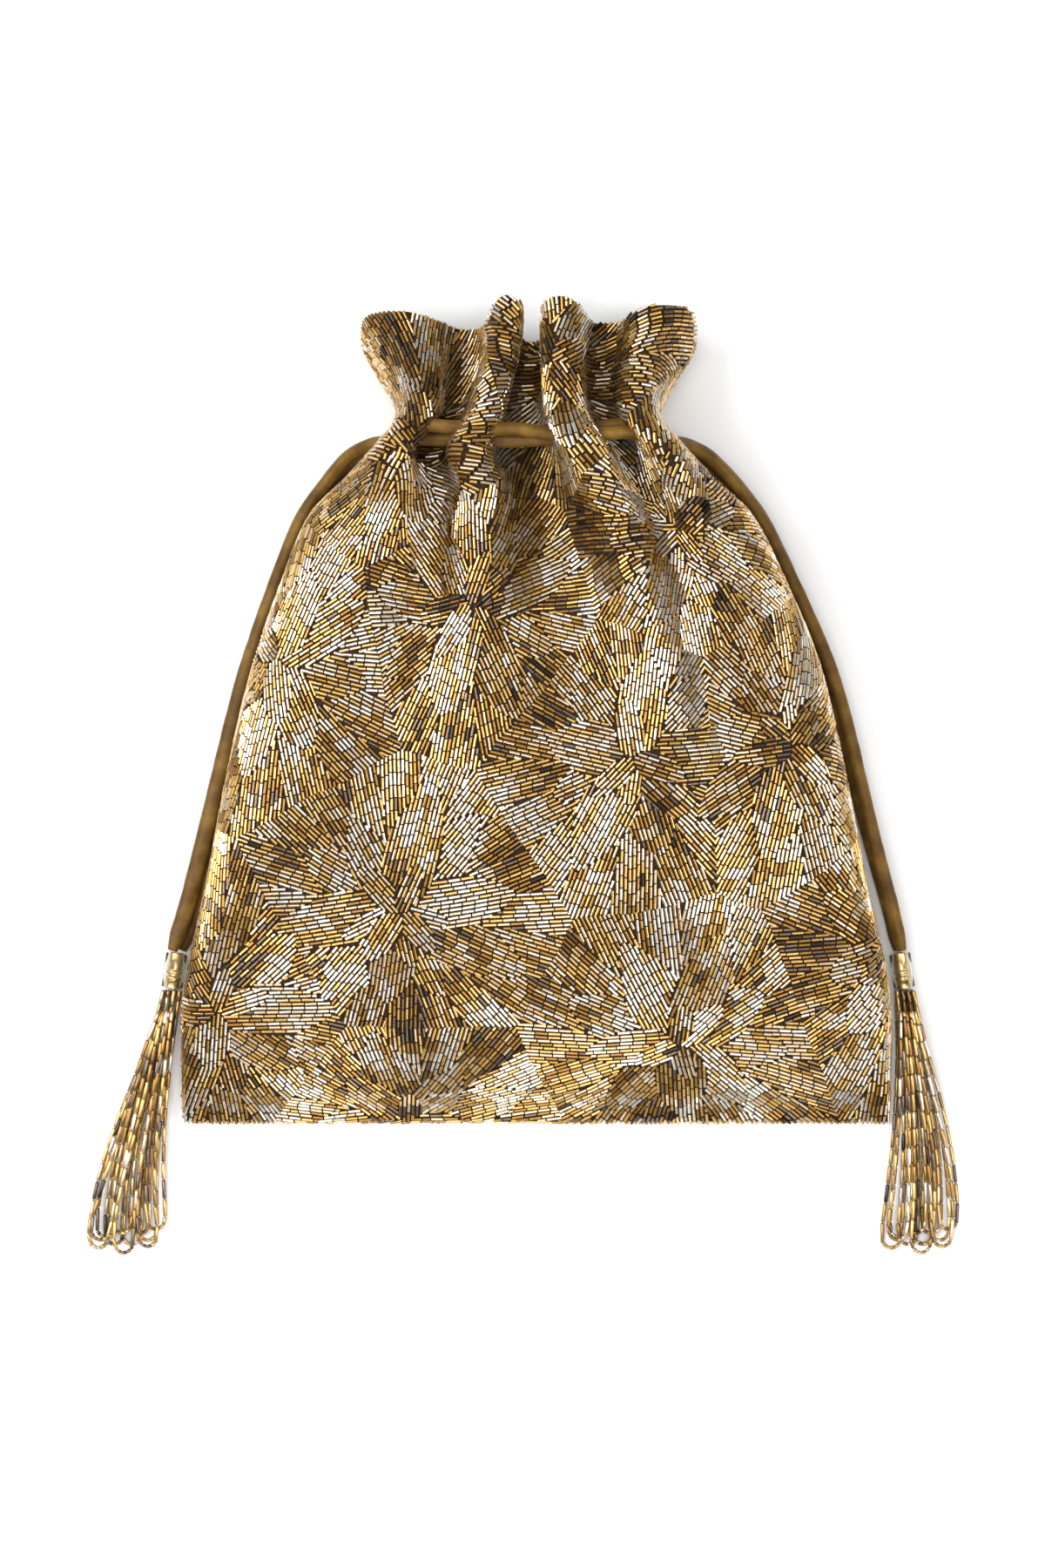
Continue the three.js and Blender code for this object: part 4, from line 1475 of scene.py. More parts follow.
    def stretch(
        self, middles: Array, half: Array, row: Array, col: Array
    ) -> tuple[Array, Array]:
        """Measures how a short line on the flat cloth lies on the bag.

        Args:
            middles: The lines' middles on the flat cloth.
            half: Half of each line.
            row: The middles' rows in the grid.
            col: The middles' columns in the grid.

        Returns:
            Each line on the bag, and how much longer it is there than on the flat cloth.
        """
        ends = []
        whole = np.ones(len(middles), bool)
        for sign in (-1, 1):
            r, c = self.surface.find(*(middles + sign * half).T)
            whole &= r >= 0
            r, c = np.where(r < 0, row, r), np.where(r < 0, col, c)
            ends.append(self.surface.read(self.surface.points, r, c))
        line = ends[1] - ends[0]
        ratio = np.linalg.norm(line, axis=1) / (2 * np.linalg.norm(half, axis=1))
        return line, np.where(whole, ratio, 1.0)

    def piece(
        self,
        name: str,
        at: Array,
        along: Array,
        normal: Array,
        lengths: Array,
        wider: Array,
        colours: Array,
        material: Material,
    ) -> Piece:
        """Makes one mesh of beads.

        Args:
            name: The piece's name.
            at: The cloth's middle under each bead.
            along: Each bead's direction.
            normal: Which way the cloth faces there.
            lengths: Each bead's length.
            wider: How much wider than usual each bead is.
            colours: Each bead's colour.
            material: The beads' finish.

        Returns:
            The mesh object.
        """
        count, k = len(at), self.arch_points
        side = np.cross(along, normal)
        size = self.rng.uniform(*self.widths, (count, 1, 1)) * wider[:, None, None]
        angle = np.radians(np.linspace(-self.arch, self.arch, k))[None, :, None]
        ring = self.bead_radius * size * (
            np.sin(angle) * side[:, None] + np.cos(angle) * normal[:, None]
        )
        lift = self.rng.normal(self.lift, self.lift_range, (count, 1))
        half = 0.5 * lengths[:, None] * self.rng.uniform(*self.lengths, (count, 1))
        middle = at + normal * lift
        ends = [(middle + way * along * half)[:, None] + ring for way in (-1, 1)]
        points = np.concatenate(ends, 1)
        lowest = points[:, :, 2].min(1, keepdims=True)
        points[:, :, 2] += np.maximum(0, self.ground - lowest)
        base = np.arange(count)[:, None, None] * (2 * k)
        i = np.arange(k - 1)
        wall = np.stack([i, i + 1, i + 1 + k, i + k], 1)[None]
        walls = (base + wall).reshape(-1, 4)
        caps = np.stack([np.arange(k)[::-1], np.arange(k, 2 * k)])[None]
        caps = (base + caps).reshape(-1, k)
        piece = mesh_object(name, points.reshape(-1, 3), [walls, caps], material)
        flat = np.zeros(len(piece.data.polygons), bool)
        flat[: len(walls)] = True
        piece.data.polygons.foreach_set("use_smooth", flat)
        ends = np.empty(2 * len(piece.data.edges), np.int32)
        piece.data.edges.foreach_get("vertices", ends)
        ring = ends.reshape(-1, 2) // k
        sharp = piece.data.attributes.new("sharp_edge", "BOOLEAN", "EDGE")
        sharp.data.foreach_set("value", ring[:, 0] == ring[:, 1])
        tint(piece, colours, 2 * k)
        self.bake_map(piece, count)
        return piece

    def bake_map(self, piece: Piece, count: int) -> None:
        """Gives each bead a cell of its own in the piece's flat map.

        Args:
            piece: The piece of beads.
            count: How many beads it has.
        """
        k = self.arch_points
        per_row = int(math.ceil(math.sqrt(count)))
        place = np.stack([np.arange(count) % per_row, np.arange(count) // per_row], 1)
        left, right, low, high = 0.08, 0.92, 0.06, 0.62
        u = np.linspace(left, right, k)
        wall = [[(a, low), (b, low), (b, high), (a, high)] for a, b in zip(u[:-1], u[1:])]
        disc_radius, disc_middles = 0.13, ((0.25, 0.8), (0.75, 0.8))
        disc = np.stack([np.cos(circle(k)), np.sin(circle(k))], 1) * disc_radius
        caps = [disc + middle for middle in disc_middles]
        cells = [(place[:, None, None] + np.array(faces)).reshape(-1, 2) for faces in (wall, caps)]
        layer = piece.data.uv_layers.new(name=BAKE_MAP)
        layer.data.foreach_set("uv", (np.concatenate(cells) / per_row).astype(np.float32).ravel())


@dataclass
class ClothPanel:
    """One panel of the bag: backing cloth with its beads."""

    shape: PanelShape
    flowers: Sequence[Flower]
    cuts: Sequence[float]
    seed: int
    arch_points: int
    wall: float = 0.5
    sink: float = 0.35
    coarser: int = 2
    ground: float = 0.1

    def build(self) -> None:
        """Makes the panel."""
        surface = ClothSurface(self.shape)
        word = self.shape.face.word
        cloth = self.cloth(surface, f"{word}_cloth")
        rows = BeadRows(surface, self.flowers, self.seed, arch_points=self.arch_points)
        beads = rows.build(f"{word}_beads", self.cuts)
        dress(cloth, f"{word}_panel")
        for piece in beads:
            dress(piece)
        tuple(float(size) * MM for size in np.ptp(surface.flat, axis=(0, 1)))
        log.info("%s: %d by %d points", cloth.name, surface.rows, surface.cols)

    def cloth(self, surface: ClothSurface, name: str) -> Piece:
        """Makes the panel's backing cloth, a thin closed sheet.

        Args:
            surface: The middle of the beaded cloth.
            name: The piece's name.

        Returns:
            The mesh object.
        """
        points = surface.points[:: self.coarser, :: self.coarser]
        normals = surface.normals[:: self.coarser, :: self.coarser]
        rows, cols = points.shape[:2]
        outer = points + normals * (self.wall / 2 - self.sink)
        inner = points - normals * (self.wall / 2 + self.sink)
        for layer in (outer, inner):
            layer[:, [0, -1], 2] -= self.shape.face.value * POUCH.seam_gap / 2
            layer[0, 1:-1, 2] -= self.shape.face.value * POUCH.seam_gap / 2
            layer[:, :, 2] = np.maximum(layer[:, :, 2], self.ground)
        count = rows * cols
        flip = self.shape.face is Face.BACK
        i = np.arange(cols - 1)
        j = np.arange(rows - 1) * cols
        last = (rows - 1) * cols
        edges = [
            edge_faces(count, i, i + 1),
            edge_faces(count, last + i + 1, last + i),
            edge_faces(count, j + cols, j),
            edge_faces(count, j + cols - 1, j + 2 * cols - 1),
        ]
        if flip:
            edges = [block[:, ::-1] for block in edges]
        faces = [
            grid_faces(rows, cols, flip=flip),
            count + grid_faces(rows, cols, flip=not flip),
            *edges,
        ]
        all_points = np.concatenate([outer.reshape(-1, 3), inner.reshape(-1, 3)])
        piece = mesh_object(name, all_points, faces, BackingFinish().material())
        flat_map(piece, rows, cols)
        return piece


def flat_map(piece: Piece, rows: int, cols: int) -> None:
    """Lays a two-sided sheet out flat, its outside on the left half and its inside on the right.

    Args:
        piece: The sheet, its outer grid of points first, then its inner grid.
        rows: Rows of points in each grid.
        cols: Points in a row.
    """
    mesh = piece.data
    number = np.empty(len(mesh.loops), np.int32)
    mesh.loops.foreach_get("vertex_index", number)
    inside, number = number >= rows * cols, number % (rows * cols)
    edge, wide, tall = 0.01, 0.47, 0.98
    u = edge + wide * (number % cols) / (cols - 1) + 0.5 * inside
    v = edge + tall * (number // cols) / (rows - 1)
    layer = mesh.uv_layers.new(name=BAKE_MAP)
    layer.data.foreach_set("uv", np.stack([u, v], 1).astype(np.float32).ravel())


@dataclass
class Lining:
    """A plain satin pouch inside the panels, open at its top."""

    top_share: float = 0.7303
    base_rise: float = 6.0
    wall: float = 0.7
    clearance: float = 0.4
    square: float = 0.9
    crowding: float = 0.4
    ring: int = 96
    rows: int = 60
    finish: SatinFinish = SatinFinish(
        "lining_satin", (0.1, 0.055, 0.015), (0.17, 0.1, 0.035), (0.3, 0.19, 0.08)
    )

    def ring_points(self, rise: float, inset: float) -> Array:
        """Gives the lining's outline at one rise.

        Args:
            rise: Height above the base seam.
            inset: How far inside the panels it lies.

        Returns:
            The points round it.
        """
        width = float(POUCH.outer_width(rise)) - POUCH.cloth_wall
        count = FRONT_SHAPE.finer
        lows = []
        for shape in (FRONT_SHAPE, BACK_SHAPE):
            _, z, _, _ = shape.section(rise)
            lows.append(z[count:-count].min() - POUCH.cloth_wall / 2 - inset)
        half = width / 2 - POUCH.cloth_wall / 2 - inset
        angle = circle(self.ring)

        def squared(value: Array) -> Array:
            """Makes a round outline squarer."""
            return np.sign(value) * np.abs(value) ** self.square

        up = squared(np.sin(angle))
        x = float(POUCH.lean(rise)) + half * squared(np.cos(angle))
        y = np.full(self.ring, POUCH.base_y + rise)
        z = seam_height(rise) + np.where(up > 0, lows[0], lows[1]) * up
        return np.stack([x, y, z], 1)

    def build(self) -> None:
        """Makes the lining."""
        top = POUCH.rise(self.top_share)
        u = np.linspace(0, 1, self.rows)
        crowded = u * (self.crowding + (1 - self.crowding) * u)
        rises = self.base_rise + (top - self.base_rise) * crowded
        outer = np.array([self.ring_points(r, self.clearance) for r in rises])
        inner_rises = np.clip(rises + self.wall * (1 - u), None, top)
        inner = np.array([self.ring_points(r, self.clearance + self.wall) for r in inner_rises])
        count, n = self.rows * self.ring, self.ring
        i = np.arange(n)
        last = count - n
        faces = [
            grid_faces(self.rows, n, wrap=True, flip=True),
            count + grid_faces(self.rows, n, wrap=True),
            edge_faces(count, last + i, last + (i + 1) % n)[:, ::-1],
            i[None],
            count + i[None, ::-1],
        ]
        points = np.concatenate([outer.reshape(-1, 3), inner.reshape(-1, 3)])
        piece = mesh_object("satin_lining", points, faces, self.finish.material())
        dress(piece, "lining")
        log.info("%s: %d rings", piece.name, self.rows)


# --- Drawstrings and tassels ---


def tube(
    path: Array,
    across: Array,
    up: Array,
    radius: Array,
    sides: int,
    wider: Array | float = 1.0,
) -> Array:
    """Sets rings of points round a path.

    Args:
        path: The rings' middles.
        across: The direction across the path at each ring.
        up: The direction up from it.
        radius: The radius of each ring, at each of its points or once for them all.
        sides: Points in a ring.
        wider: How much wider each ring is across than up.

    Returns:
        The points, ring by ring.
    """
    angle = circle(sides)[None, :, None]
    ring = np.cos(angle) * across[:, None] * wider + np.sin(angle) * up[:, None]
    return (path[:, None] + radius[:, :, None] * ring).reshape(-1, 3)


@dataclass(frozen=True)
class Tassel:
    """Where a tassel hangs and how its strands spread, in millimetres."""

    side: Side
    out: float
    turn: float
    spread: Pair
    bend: float
    rise: float = 52.6
    collar_length: float = 11.3
    collar_radius: float = 2.3
    band: float = 0.22
    sleeve_wall: float = 0.45
    sleeve_clearance: float = 0.3
    strand_diameter: float = 1.4
    strand_gap: float = 0.3
    strand_drop: float = 80.5
    loop_width: float = 5.8
    foot_pitch: float = 1.25
    loop_round: float = 1.2
    layer_shorter: tuple[float, ...] = (0, 3.4, 1.4, 5)
    loop_shorter: float = 1.2
    cord_pitch: float = 4.5
    rest_z: float = 2.4
    axis_share: float = 0.4
    foot_height: float = 0.66
    opening: float = 0.55
    fallen_at: float = 0.6
    parts: int = 6
    part_points: int = 24
    top_places: tuple[float, ...] = (0.1, 0.5, 0.88)
    top_shorter: tuple[float, ...] = (6.5, 2.6, 4.4)
    top_gap: float = 0.2
    top_pitch: float = 0.62
    top_start: float = 5.0
    top_layer: float = 4.5
    top_foot: float = 4.1
    top_foot_step: float = 0.35
    top_opening: float = 0.5
    top_wave: float = 0.05
    top_wave_turns: float = 7
    top_lifted_at: float = 0.12
    top_bend: float = 0.7
    top_bend_step: float = 0.3
    top_parts: int = 10
    top_part_points: int = 12

    @property
    def top(self) -> Array:
        """The top of the collar's axis."""
        x = self.side.value * (POUCH.base_width / 2 + self.out)
        return np.array(
            [x, POUCH.base_y + self.rise, self.rest_z + self.axis_share * self.cord_pitch]
        )

    @property
    def down(self) -> Array:
        """The direction of the collar's axis, towards the strands."""
        return np.array([math.sin(self.turn), -math.cos(self.turn), 0.0])

    @property
    def pitch(self) -> float:
        """How far apart the strands are where they leave the collar."""
        return self.strand_diameter + self.strand_gap

    @property
    def foot(self) -> float:
        """The x of the collar's foot."""
        return self.top[0] + math.sin(self.turn) * self.collar_length

    def looped(
        self,
        leg: Leg,
        bottom: Point,
        radius: float,
        parts: int,
        per_span: int,
    ) -> Array:
        """Joins the legs of a loop round its bottom.

        Args:
            leg: Gives a point on a leg, from its number and how far down it the point is.
            bottom: The middle between the feet of the legs.
            radius: Half of the distance between them.
            parts: Parts to draw each leg in.
            per_span: Points to make in each part.

        Returns:
            The loop's points.
        """
        steps = [k / parts for k in range(parts + 1)]
        x, y, z = bottom
        arc = [
            (x - radius * math.cos(a), y - radius * self.loop_round * math.sin(a), z)
            for a in (math.pi / 4, math.pi / 2, 3 * math.pi / 4)
        ]
        points = [leg(0, t) for t in steps] + arc + [leg(1, t) for t in reversed(steps)]
        return spline(points, per_span)

    def strand_path(self, layer: int, loop: int) -> Array:
        """Follows one looped strand: down from the collar, round its bottom and back up.

        Args:
            layer: Which layer of loops it lies in; the last ones lie on top of the solids'.
            loop: Which loop of the layer it is.

        Returns:
            The path's points.
        """
        if layer >= len(self.layer_shorter):
            return self.top_path(loop)
        pitch = self.pitch
        top_x = self.foot
        top_y = self.top[1] - self.collar_length - self.strand_gap
        head_z = pitch / 2 + layer * pitch
        foot_z = self.foot_height + layer * self.foot_pitch
        layers = len(self.layer_shorter)
        place = (loop + layer / layers) / (2 - 1 / layers)
        middle = self.spread[0] + (self.spread[1] - self.spread[0]) * place
        radius = self.loop_width / 2
        length = (
            self.strand_drop
            - self.layer_shorter[layer]
            - loop * self.loop_shorter
            - self.loop_round * radius
        )

        def leg(number: int, t: float) -> Point:
            """Gives a point on one leg of the loop.

            Args:
                number: 0 for the leg that goes down and 1 for the one that comes up again.
                t: Share of the way from the collar to the leg's foot.

            Returns:
                The point.
            """
            head = (2 * loop + number - 1.5) * pitch
            foot = middle + (radius if number else -radius)
            opened = t + self.opening * (ease(t) - t)
            sway = self.bend * math.sin(math.pi * t)
            fallen = min(t / self.fallen_at, 1.0)
            z = head_z + (foot_z - head_z) * fallen * fallen * (3 - 2 * fallen)
            return (top_x + head + (foot - head) * opened + sway, top_y - t * length, z)

        bottom = (top_x + middle, top_y - length, foot_z)
        return self.looped(leg, bottom, radius, self.parts, self.part_points)

    def top_path(self, loop: int) -> Array:
        """Follows one of the loops that lie on top of the others.

        Args:
            loop: Which loop it is, from the left.

        Returns:
            The path's points.
        """
        x, y = self.foot, self.top[1] - self.collar_length - self.top_gap
        middle = self.spread[0] + (self.spread[1] - self.spread[0]) * self.top_places[loop]
        length = self.strand_drop - self.top_shorter[loop]
        radius = self.loop_width / 2
        top_z = self.top_layer * self.pitch
        foot_layer = self.top_foot + self.top_foot_step * (loop % 2)
        foot_z = self.foot_height + foot_layer * self.foot_pitch

        def leg(number: int, t: float) -> Point:
            """Gives a point on one leg of the loop.

            Args:
                number: 0 for the leg that goes down and 1 for the one that comes up again.
                t: Share of the way from the collar to the leg's foot.

            Returns:
                The point.
            """
            head = (2 * loop + number - 2.5) * self.top_pitch
            foot = middle + (radius if number else -radius)
            wave = self.top_wave * math.sin(self.top_wave_turns * t + loop)
            opened = t + self.top_opening * (ease(t) - t) + wave
            lift = min(t / self.top_lifted_at, 1.0)
            fallen = max(0.0, (t - self.top_lifted_at) / (1 - self.top_lifted_at))
            z = self.top_start + (top_z - self.top_start) * lift * lift * (3 - 2 * lift)
            z -= (top_z - foot_z) * fallen * fallen * (3 - 2 * fallen)
            bend = self.top_bend + self.top_bend_step * loop
            sway = self.bend * math.sin(math.pi * t) * bend
            return (x + head + (foot - head) * opened + sway, y - t * length, z)

        start, end = leg(0, 1.0), leg(1, 1.0)
        bottom = ((start[0] + end[0]) / 2, start[1], start[2])
        half = (end[0] - start[0]) / 2
        return self.looped(leg, bottom, half, self.top_parts, self.top_part_points)


LEFT_TASSEL = Tassel(Side.LEFT, 1.6, math.radians(-8), (-23.2, -5), -2)
RIGHT_TASSEL = Tassel(Side.RIGHT, 2.8, math.radians(8), (-4, 13.4), 2)


@dataclass(frozen=True)
class CordRoute:
    """The route of one drawstring loop, as the solids have it.

    Outside the bag a point is a share of the cord line's rise, the millimetres out from the bag's
    edge, and its height in strands. In the neck it is a share of half the neck's width, the
    millimetres above the cord line, and how far it lies from the back strand to the front one.
    """

    tassel: Tassel
    front_shift: float
    ends: Sequence[Pair]
    upper: Route
    neck: Route
    lower: Route
    front_height: float = 0.67
    back_height: float = 0.45
    collar_gap: float = 0.6

    def path(self) -> Array:
        """Follows the whole cord.

        Returns:
            The points of its middle line, from collar to collar.
        """
        rise, tassel = POUCH.cord_rise, self.tassel
        side = tassel.side.value
        seam = seam_height(rise)
        _, folds, _, _ = FRONT_SHAPE.section(rise)
        pitch, rest = tassel.cord_pitch, tassel.rest_z
        front = seam + self.front_height * folds.max() + self.front_shift * pitch / 2
        back = self.back_height * seam - self.front_shift * pitch / 2

        def beside(point: Point) -> Point:
            """Places a point outside the bag.

            Args:
                point: The point in the route's own measures.

            Returns:
                The point in millimetres.
            """
            at = point[0] * rise
            x = float(POUCH.lean(at)) + side * (float(POUCH.outer_width(at)) / 2 + point[1])
            return (x, POUCH.base_y + at, rest + point[2] * pitch)

        def within(point: Point) -> Point:
            """Places a point in the neck."""
            x = POUCH.neck_lean + point[0] * float(POUCH.outer_width(rise)) / 2
            return (x, POUCH.base_y + rise + point[1], back + (front - back) * point[2])

        def end(point: Pair) -> Point:
            """Places one of the cord's ends over the collar."""
            x, y, _ = tassel.top
            return (x + side * point[0], y + self.collar_gap, rest + point[1] * pitch)

        points = [
            end(self.ends[0]),
            *map(beside, self.upper),
            *map(within, self.neck),
            *map(beside, self.lower),
            end(self.ends[1]),
        ]
        return spline(points)


LEFT_ROUTE = CordRoute(
    LEFT_TASSEL,
    -1,
    ends=((1.3, 0.82), (-1.4, 0)),
    upper=(
        (0.294, 5.2, 0.78), (0.33, 4.7, 0.76), (0.39, 4, 0.73), (0.463, 3.1, 0.73),
        (0.532, 2.4, 0.84), (0.596, 2.1, 0.96), (0.657, 2, 0.98), (0.724, 2, 1),
        (0.783, 2.2, 1.02), (0.841, 2.2, 1.07), (0.892, 2.7, 1.24), (0.937, 5.5, 1.56),
    ),
    neck=(
        (-1.24, -5.1, 0.127), (-1.088, -1.9, 0.329), (-0.964, -1.3, 0.591), (-0.87, -1, 0.818),
        (-0.768, -1.1, 0.97), (-0.639, -1.3, 1.012), (-0.349, -1.6, 1.012), (-0.038, -1.6, 1.012),
        (0.207, -0.6, 1.012), (0.407, 1.9, 1.008), (0.608, 3.3, 0.996), (0.708, 3.5, 0.928),
        (0.786, 3.7, 0.768), (0.812, 3.7, 0.527), (0.79, 3.7, 0.262), (0.714, 3.3, 0.076),
        (0.585, 2.6, 0.009), (0.318, 1.5, 0), (0.051, -0.3, 0), (-0.216, -1.4, 0),
        (-0.572, -1.5, -0.004), (-0.75, -1.4, -0.042), (-0.906, -1.7, -0.101),
    ),
    lower=(
        (0.982, -0.3, 0.53), (0.964, 2.8, 0.27), (0.93, 3.1, 0.11), (0.89, 1.2, 0.02),
        (0.84, 0.2, 0), (0.782, -0.2, 0), (0.724, -0.7, 0), (0.657, -1, 0), (0.596, -1.1, 0),
        (0.532, -0.7, 0), (0.463, -0.2, 0), (0.39, 0.6, 0), (0.33, 1.4, 0), (0.293, 2.3, 0),
    ),
)
RIGHT_ROUTE = CordRoute(
    RIGHT_TASSEL,
    1,
    ends=((0.5, 0.98), (-0.3, 0)),
    upper=(
        (0.316, 6.7, 0.98), (0.382, 5.9, 1), (0.456, 5, 1), (0.564, 4.3, 1.02),
        (0.662, 3.5, 1.04), (0.757, 2.9, 1.07), (0.836, 2.7, 1.11), (0.893, 3.3, 1.29),
        (0.948, 6.5, 1.6),
    ),
    neck=(
        (1.222, -4.5, 0.236), (1.088, -1.9, 0.376), (0.975, -1.3, 0.581), (0.888, -0.3, 0.795),
        (0.799, 0.2, 0.939), (0.674, 0.5, 1.003), (0.452, 0.1, 1.009), (0.207, -0.5, 1.012),
        (-0.038, 1.4, 1.009), (-0.305, 1.7, 1.009), (-0.572, 2.3, 1.006), (-0.714, 3.1, 0.951),
        (-0.799, 3.7, 0.81), (-0.826, 3.9, 0.596), (-0.826, 3.9, 0.382), (-0.794, 3.6, 0.162),
        (-0.697, 3.1, 0.04), (-0.55, 2.5, 0.003), (-0.216, 1.9, 0), (0.051, 0.7, 0),
        (0.318, -0.9, 0), (0.63, -1.1, 0), (0.808, -1.1, -0.003), (0.941, -1.7, -0.009),
    ),
    lower=(
        (0.983, 0.3, 0.31), (0.964, 2.6, 0.22), (0.93, 3, 0.11), (0.89, 1.3, 0.02),
        (0.838, 0.7, 0.02), (0.757, 1.1, 0.04), (0.662, 1.6, 0.02), (0.564, 2.5, 0),
        (0.456, 3.5, 0), (0.382, 4.7, 0), (0.316, 5.7, 0),
    ),
)


@dataclass
class Drawstring:
    """A satin tube of cord that goes from its tassel through the neck and back."""

    route: CordRoute
    low_flat: float
    seed: int
    diameter: float = 4.2
    sides: int = 20
    step: float = 0.9
    seam_turn: float = 1.1
    seam_wander: float = 1.5
    wander_size: float = 34.0
    seam_depth: float = 0.13
    seam_width: float = 0.24
    ripple: float = 0.07
    ripple_size: float = 3.2
    ripple_spread: float = 3
    ripple_middle: float = 12
    ripple_reach: float = 40
    flat_until: float = 130
    flat_fade: float = 60
    flat_start: float = 6
    end_radius: float = 0.68
    end_length: float = 5
    end_round: float = 0.7

    def build(self, fittings: Sequence[Piece]) -> None:
        """Makes the cord.

        Args:
            fittings: The pieces on its ends; not used.
        """
        word = self.route.tassel.side.word
        path = evenly(self.route.path(), self.step)
        _, across, up = carried_frames(path)
        s = np.linspace(0, path_length(path), len(path))
        rng = np.random.default_rng(self.seed)
        wander = lattice(rng, self.wander_size, (0, 0), (s[-1], 1))
        ripple = lattice(rng, self.ripple_size, (0, 0), (s[-1], self.ripple_reach))
        seam = self.seam_turn + self.seam_wander * wander(s, np.zeros_like(s))
        from_seam = (circle(self.sides) - seam[:, None] + math.pi) % (2 * math.pi) - math.pi
        dent = self.seam_depth * np.exp(-((from_seam / self.seam_width) ** 2))
        radius = self.diameter / 2 * (1 - dent)
        around = from_seam * self.ripple_spread + self.ripple_middle
        radius += self.ripple * ripple(np.repeat(s[:, None], self.sides, 1), around)
        ends = np.minimum(s, s[-1] - s)
        low = np.clip((self.flat_until - ends) / self.flat_fade, 0, 1)
        wider = 1 + self.low_flat * low * np.clip(ends / self.flat_start, 0, 1)
        rounded = np.clip(ends / self.end_length, 0, 1) ** self.end_round
        radius *= (self.end_radius + (1 - self.end_radius) * rounded)[:, None]
        points = tube(path, across, up, radius, self.sides, wider[:, None, None])
        finish = SatinFinish(
            f"cord_satin_{word}", (0.08, 0.037, 0.004), (0.15, 0.076, 0.01), (0.25, 0.137, 0.022)
        )
        faces = rod_faces(len(path), self.sides)
        piece = mesh_object(f"{word}_drawstring", points, faces, finish.material())
        dress(piece, f"drawstring_{word}")
        evenly(path, 3.0) * MM
        log.info("%s: %.0f mm", piece.name, path_length(path))


@dataclass
class TasselStrand:
    """One looped thread strung with bugle beads, with small round ones at its bottom."""

    tassel: Tassel
    layer: int
    loop: int
    bead_length: float = 5.4
    bead_gap: float = 0.28
    seed_bead: float = 1.35
    step: float = 0.25
    sides: int = 8
    first_seed: int = 100
    side_seeds: int = 20
    seeds: int = 4
    seed_gap: float = 0.1
    thread: float = 0.2
    bare: float = 7.0
    first_least: float = 1.6
    last_most: float = 1.4
    lengths: Pair = (0.9, 1.1)
    sizes: Pair = (0.8, 0.92)
    shades: Pair = (0.55, 0.95)
    tone_shares: tuple[float, ...] = (0.02, 0.1, 0.33, 0.36, 0.12, 0.07)
    bead_shape: Pairs = (
        (0.0, 0.35), (0.02, 0.9), (0.07, 1.0), (0.93, 1.0), (0.98, 0.9), (1.0, 0.35),
    )

    @property
    def on_top(self) -> bool:
        """Whether the strand lies on top of the solids' ones."""
        return self.layer >= len(self.tassel.layer_shorter)

    def string(self, rng: Random, start: float, end: float) -> list[Pair]:
        """Strings bugle beads along a leg, the first of them cut short.

        Args:
            rng: The source of the beads' lengths.
            start: Where the leg starts.
            end: Where it ends.

        Returns:
            Each bead's start and end.
        """
        marks = [start, start + rng.uniform(self.first_least, self.bead_length)]
        while marks[-1] < end - self.last_most * self.bead_length:
            marks.append(marks[-1] + self.bead_length * rng.uniform(*self.lengths) + self.bead_gap)
        marks.append(end)
        gap = self.bead_gap / 2
        return [(a + gap, b - gap) for a, b in zip(marks[:-1], marks[1:])]

    def spans(self, rng: Random, total: float) -> list[Pair]:
        """Divides the whole thread among its beads.

        Args:
            rng: The source of the beads' lengths.
            total: The thread's length.

        Returns:
            Each bead's start and end.
        """
        bare = self.bare if self.on_top else 0.0
        small, gap = self.seed_bead + self.seed_gap, self.seed_gap / 2
        start = (total - self.seeds * small) / 2
        down = self.string(rng, bare, start)
        bottom = [
            (start + k * small + gap, start + (k + 1) * small - gap) for k in range(self.seeds)
        ]
        back = self.string(rng, bare, start)
        return down + bottom + [(total - b, total - a) for a, b in reversed(back)]

    def rings(self, rng: Random, total: float) -> Array:
        """Shapes the beads from rings.

        Args:
            rng: The source of the beads' sizes and tones.
            total: The thread's length.

        Returns:
            For each ring its place along the thread, its radius, and its three parts of colour.
        """
        radius = self.tassel.strand_diameter / 2
        rings: list[tuple[float, ...]] = []
        for a, b in self.spans(rng, total):
            tone = TONES[rng.choice(len(TONES), p=self.tone_shares)] * rng.uniform(*self.shades)
            size = radius * rng.uniform(*self.sizes)
            for place, wide in self.bead_shape:
                rings.append((a + (b - a) * place, max(size * wide, self.thread), *tone))
        if self.on_top:
            end = (self.thread, *BeadTone.TAUPE.value)
            rings = [(0.0, *end), *rings, (total, *end)]
        return np.array(rings)

    def build(self, material: Material) -> None:
        """Makes the strand.

        Args:
            material: The beads' finish.
        """
        side = self.tassel.side
        number = 2 * self.layer + self.loop + 1
        path = evenly(self.tassel.strand_path(self.layer, self.loop), self.step)
        s = np.linspace(0, path_length(path), len(path))
        total = s[-1]
        seed = self.first_seed + number + self.side_seeds * (side is Side.RIGHT)
        rng = np.random.default_rng(seed)
        rings = self.rings(rng, total)

        def at(values: Array) -> Array:
            """Reads a list along the path at the rings' places."""
            return np.stack([np.interp(rings[:, 0], s, values[:, k]) for k in range(3)], 1)

        _, across, up = carried_frames(path)
        points = tube(at(path), unit(at(across)), unit(at(up)), rings[:, 1:2], self.sides)
        name = f"{side.word}_strand_{number:02d}"
        piece = mesh_object(name, points, rod_faces(len(rings), self.sides), material)
        tint(piece, rings[:, 2:], self.sides)
        dress(piece, None if self.on_top else f"tassel_{name}")
        evenly(path, 0.6) * MM


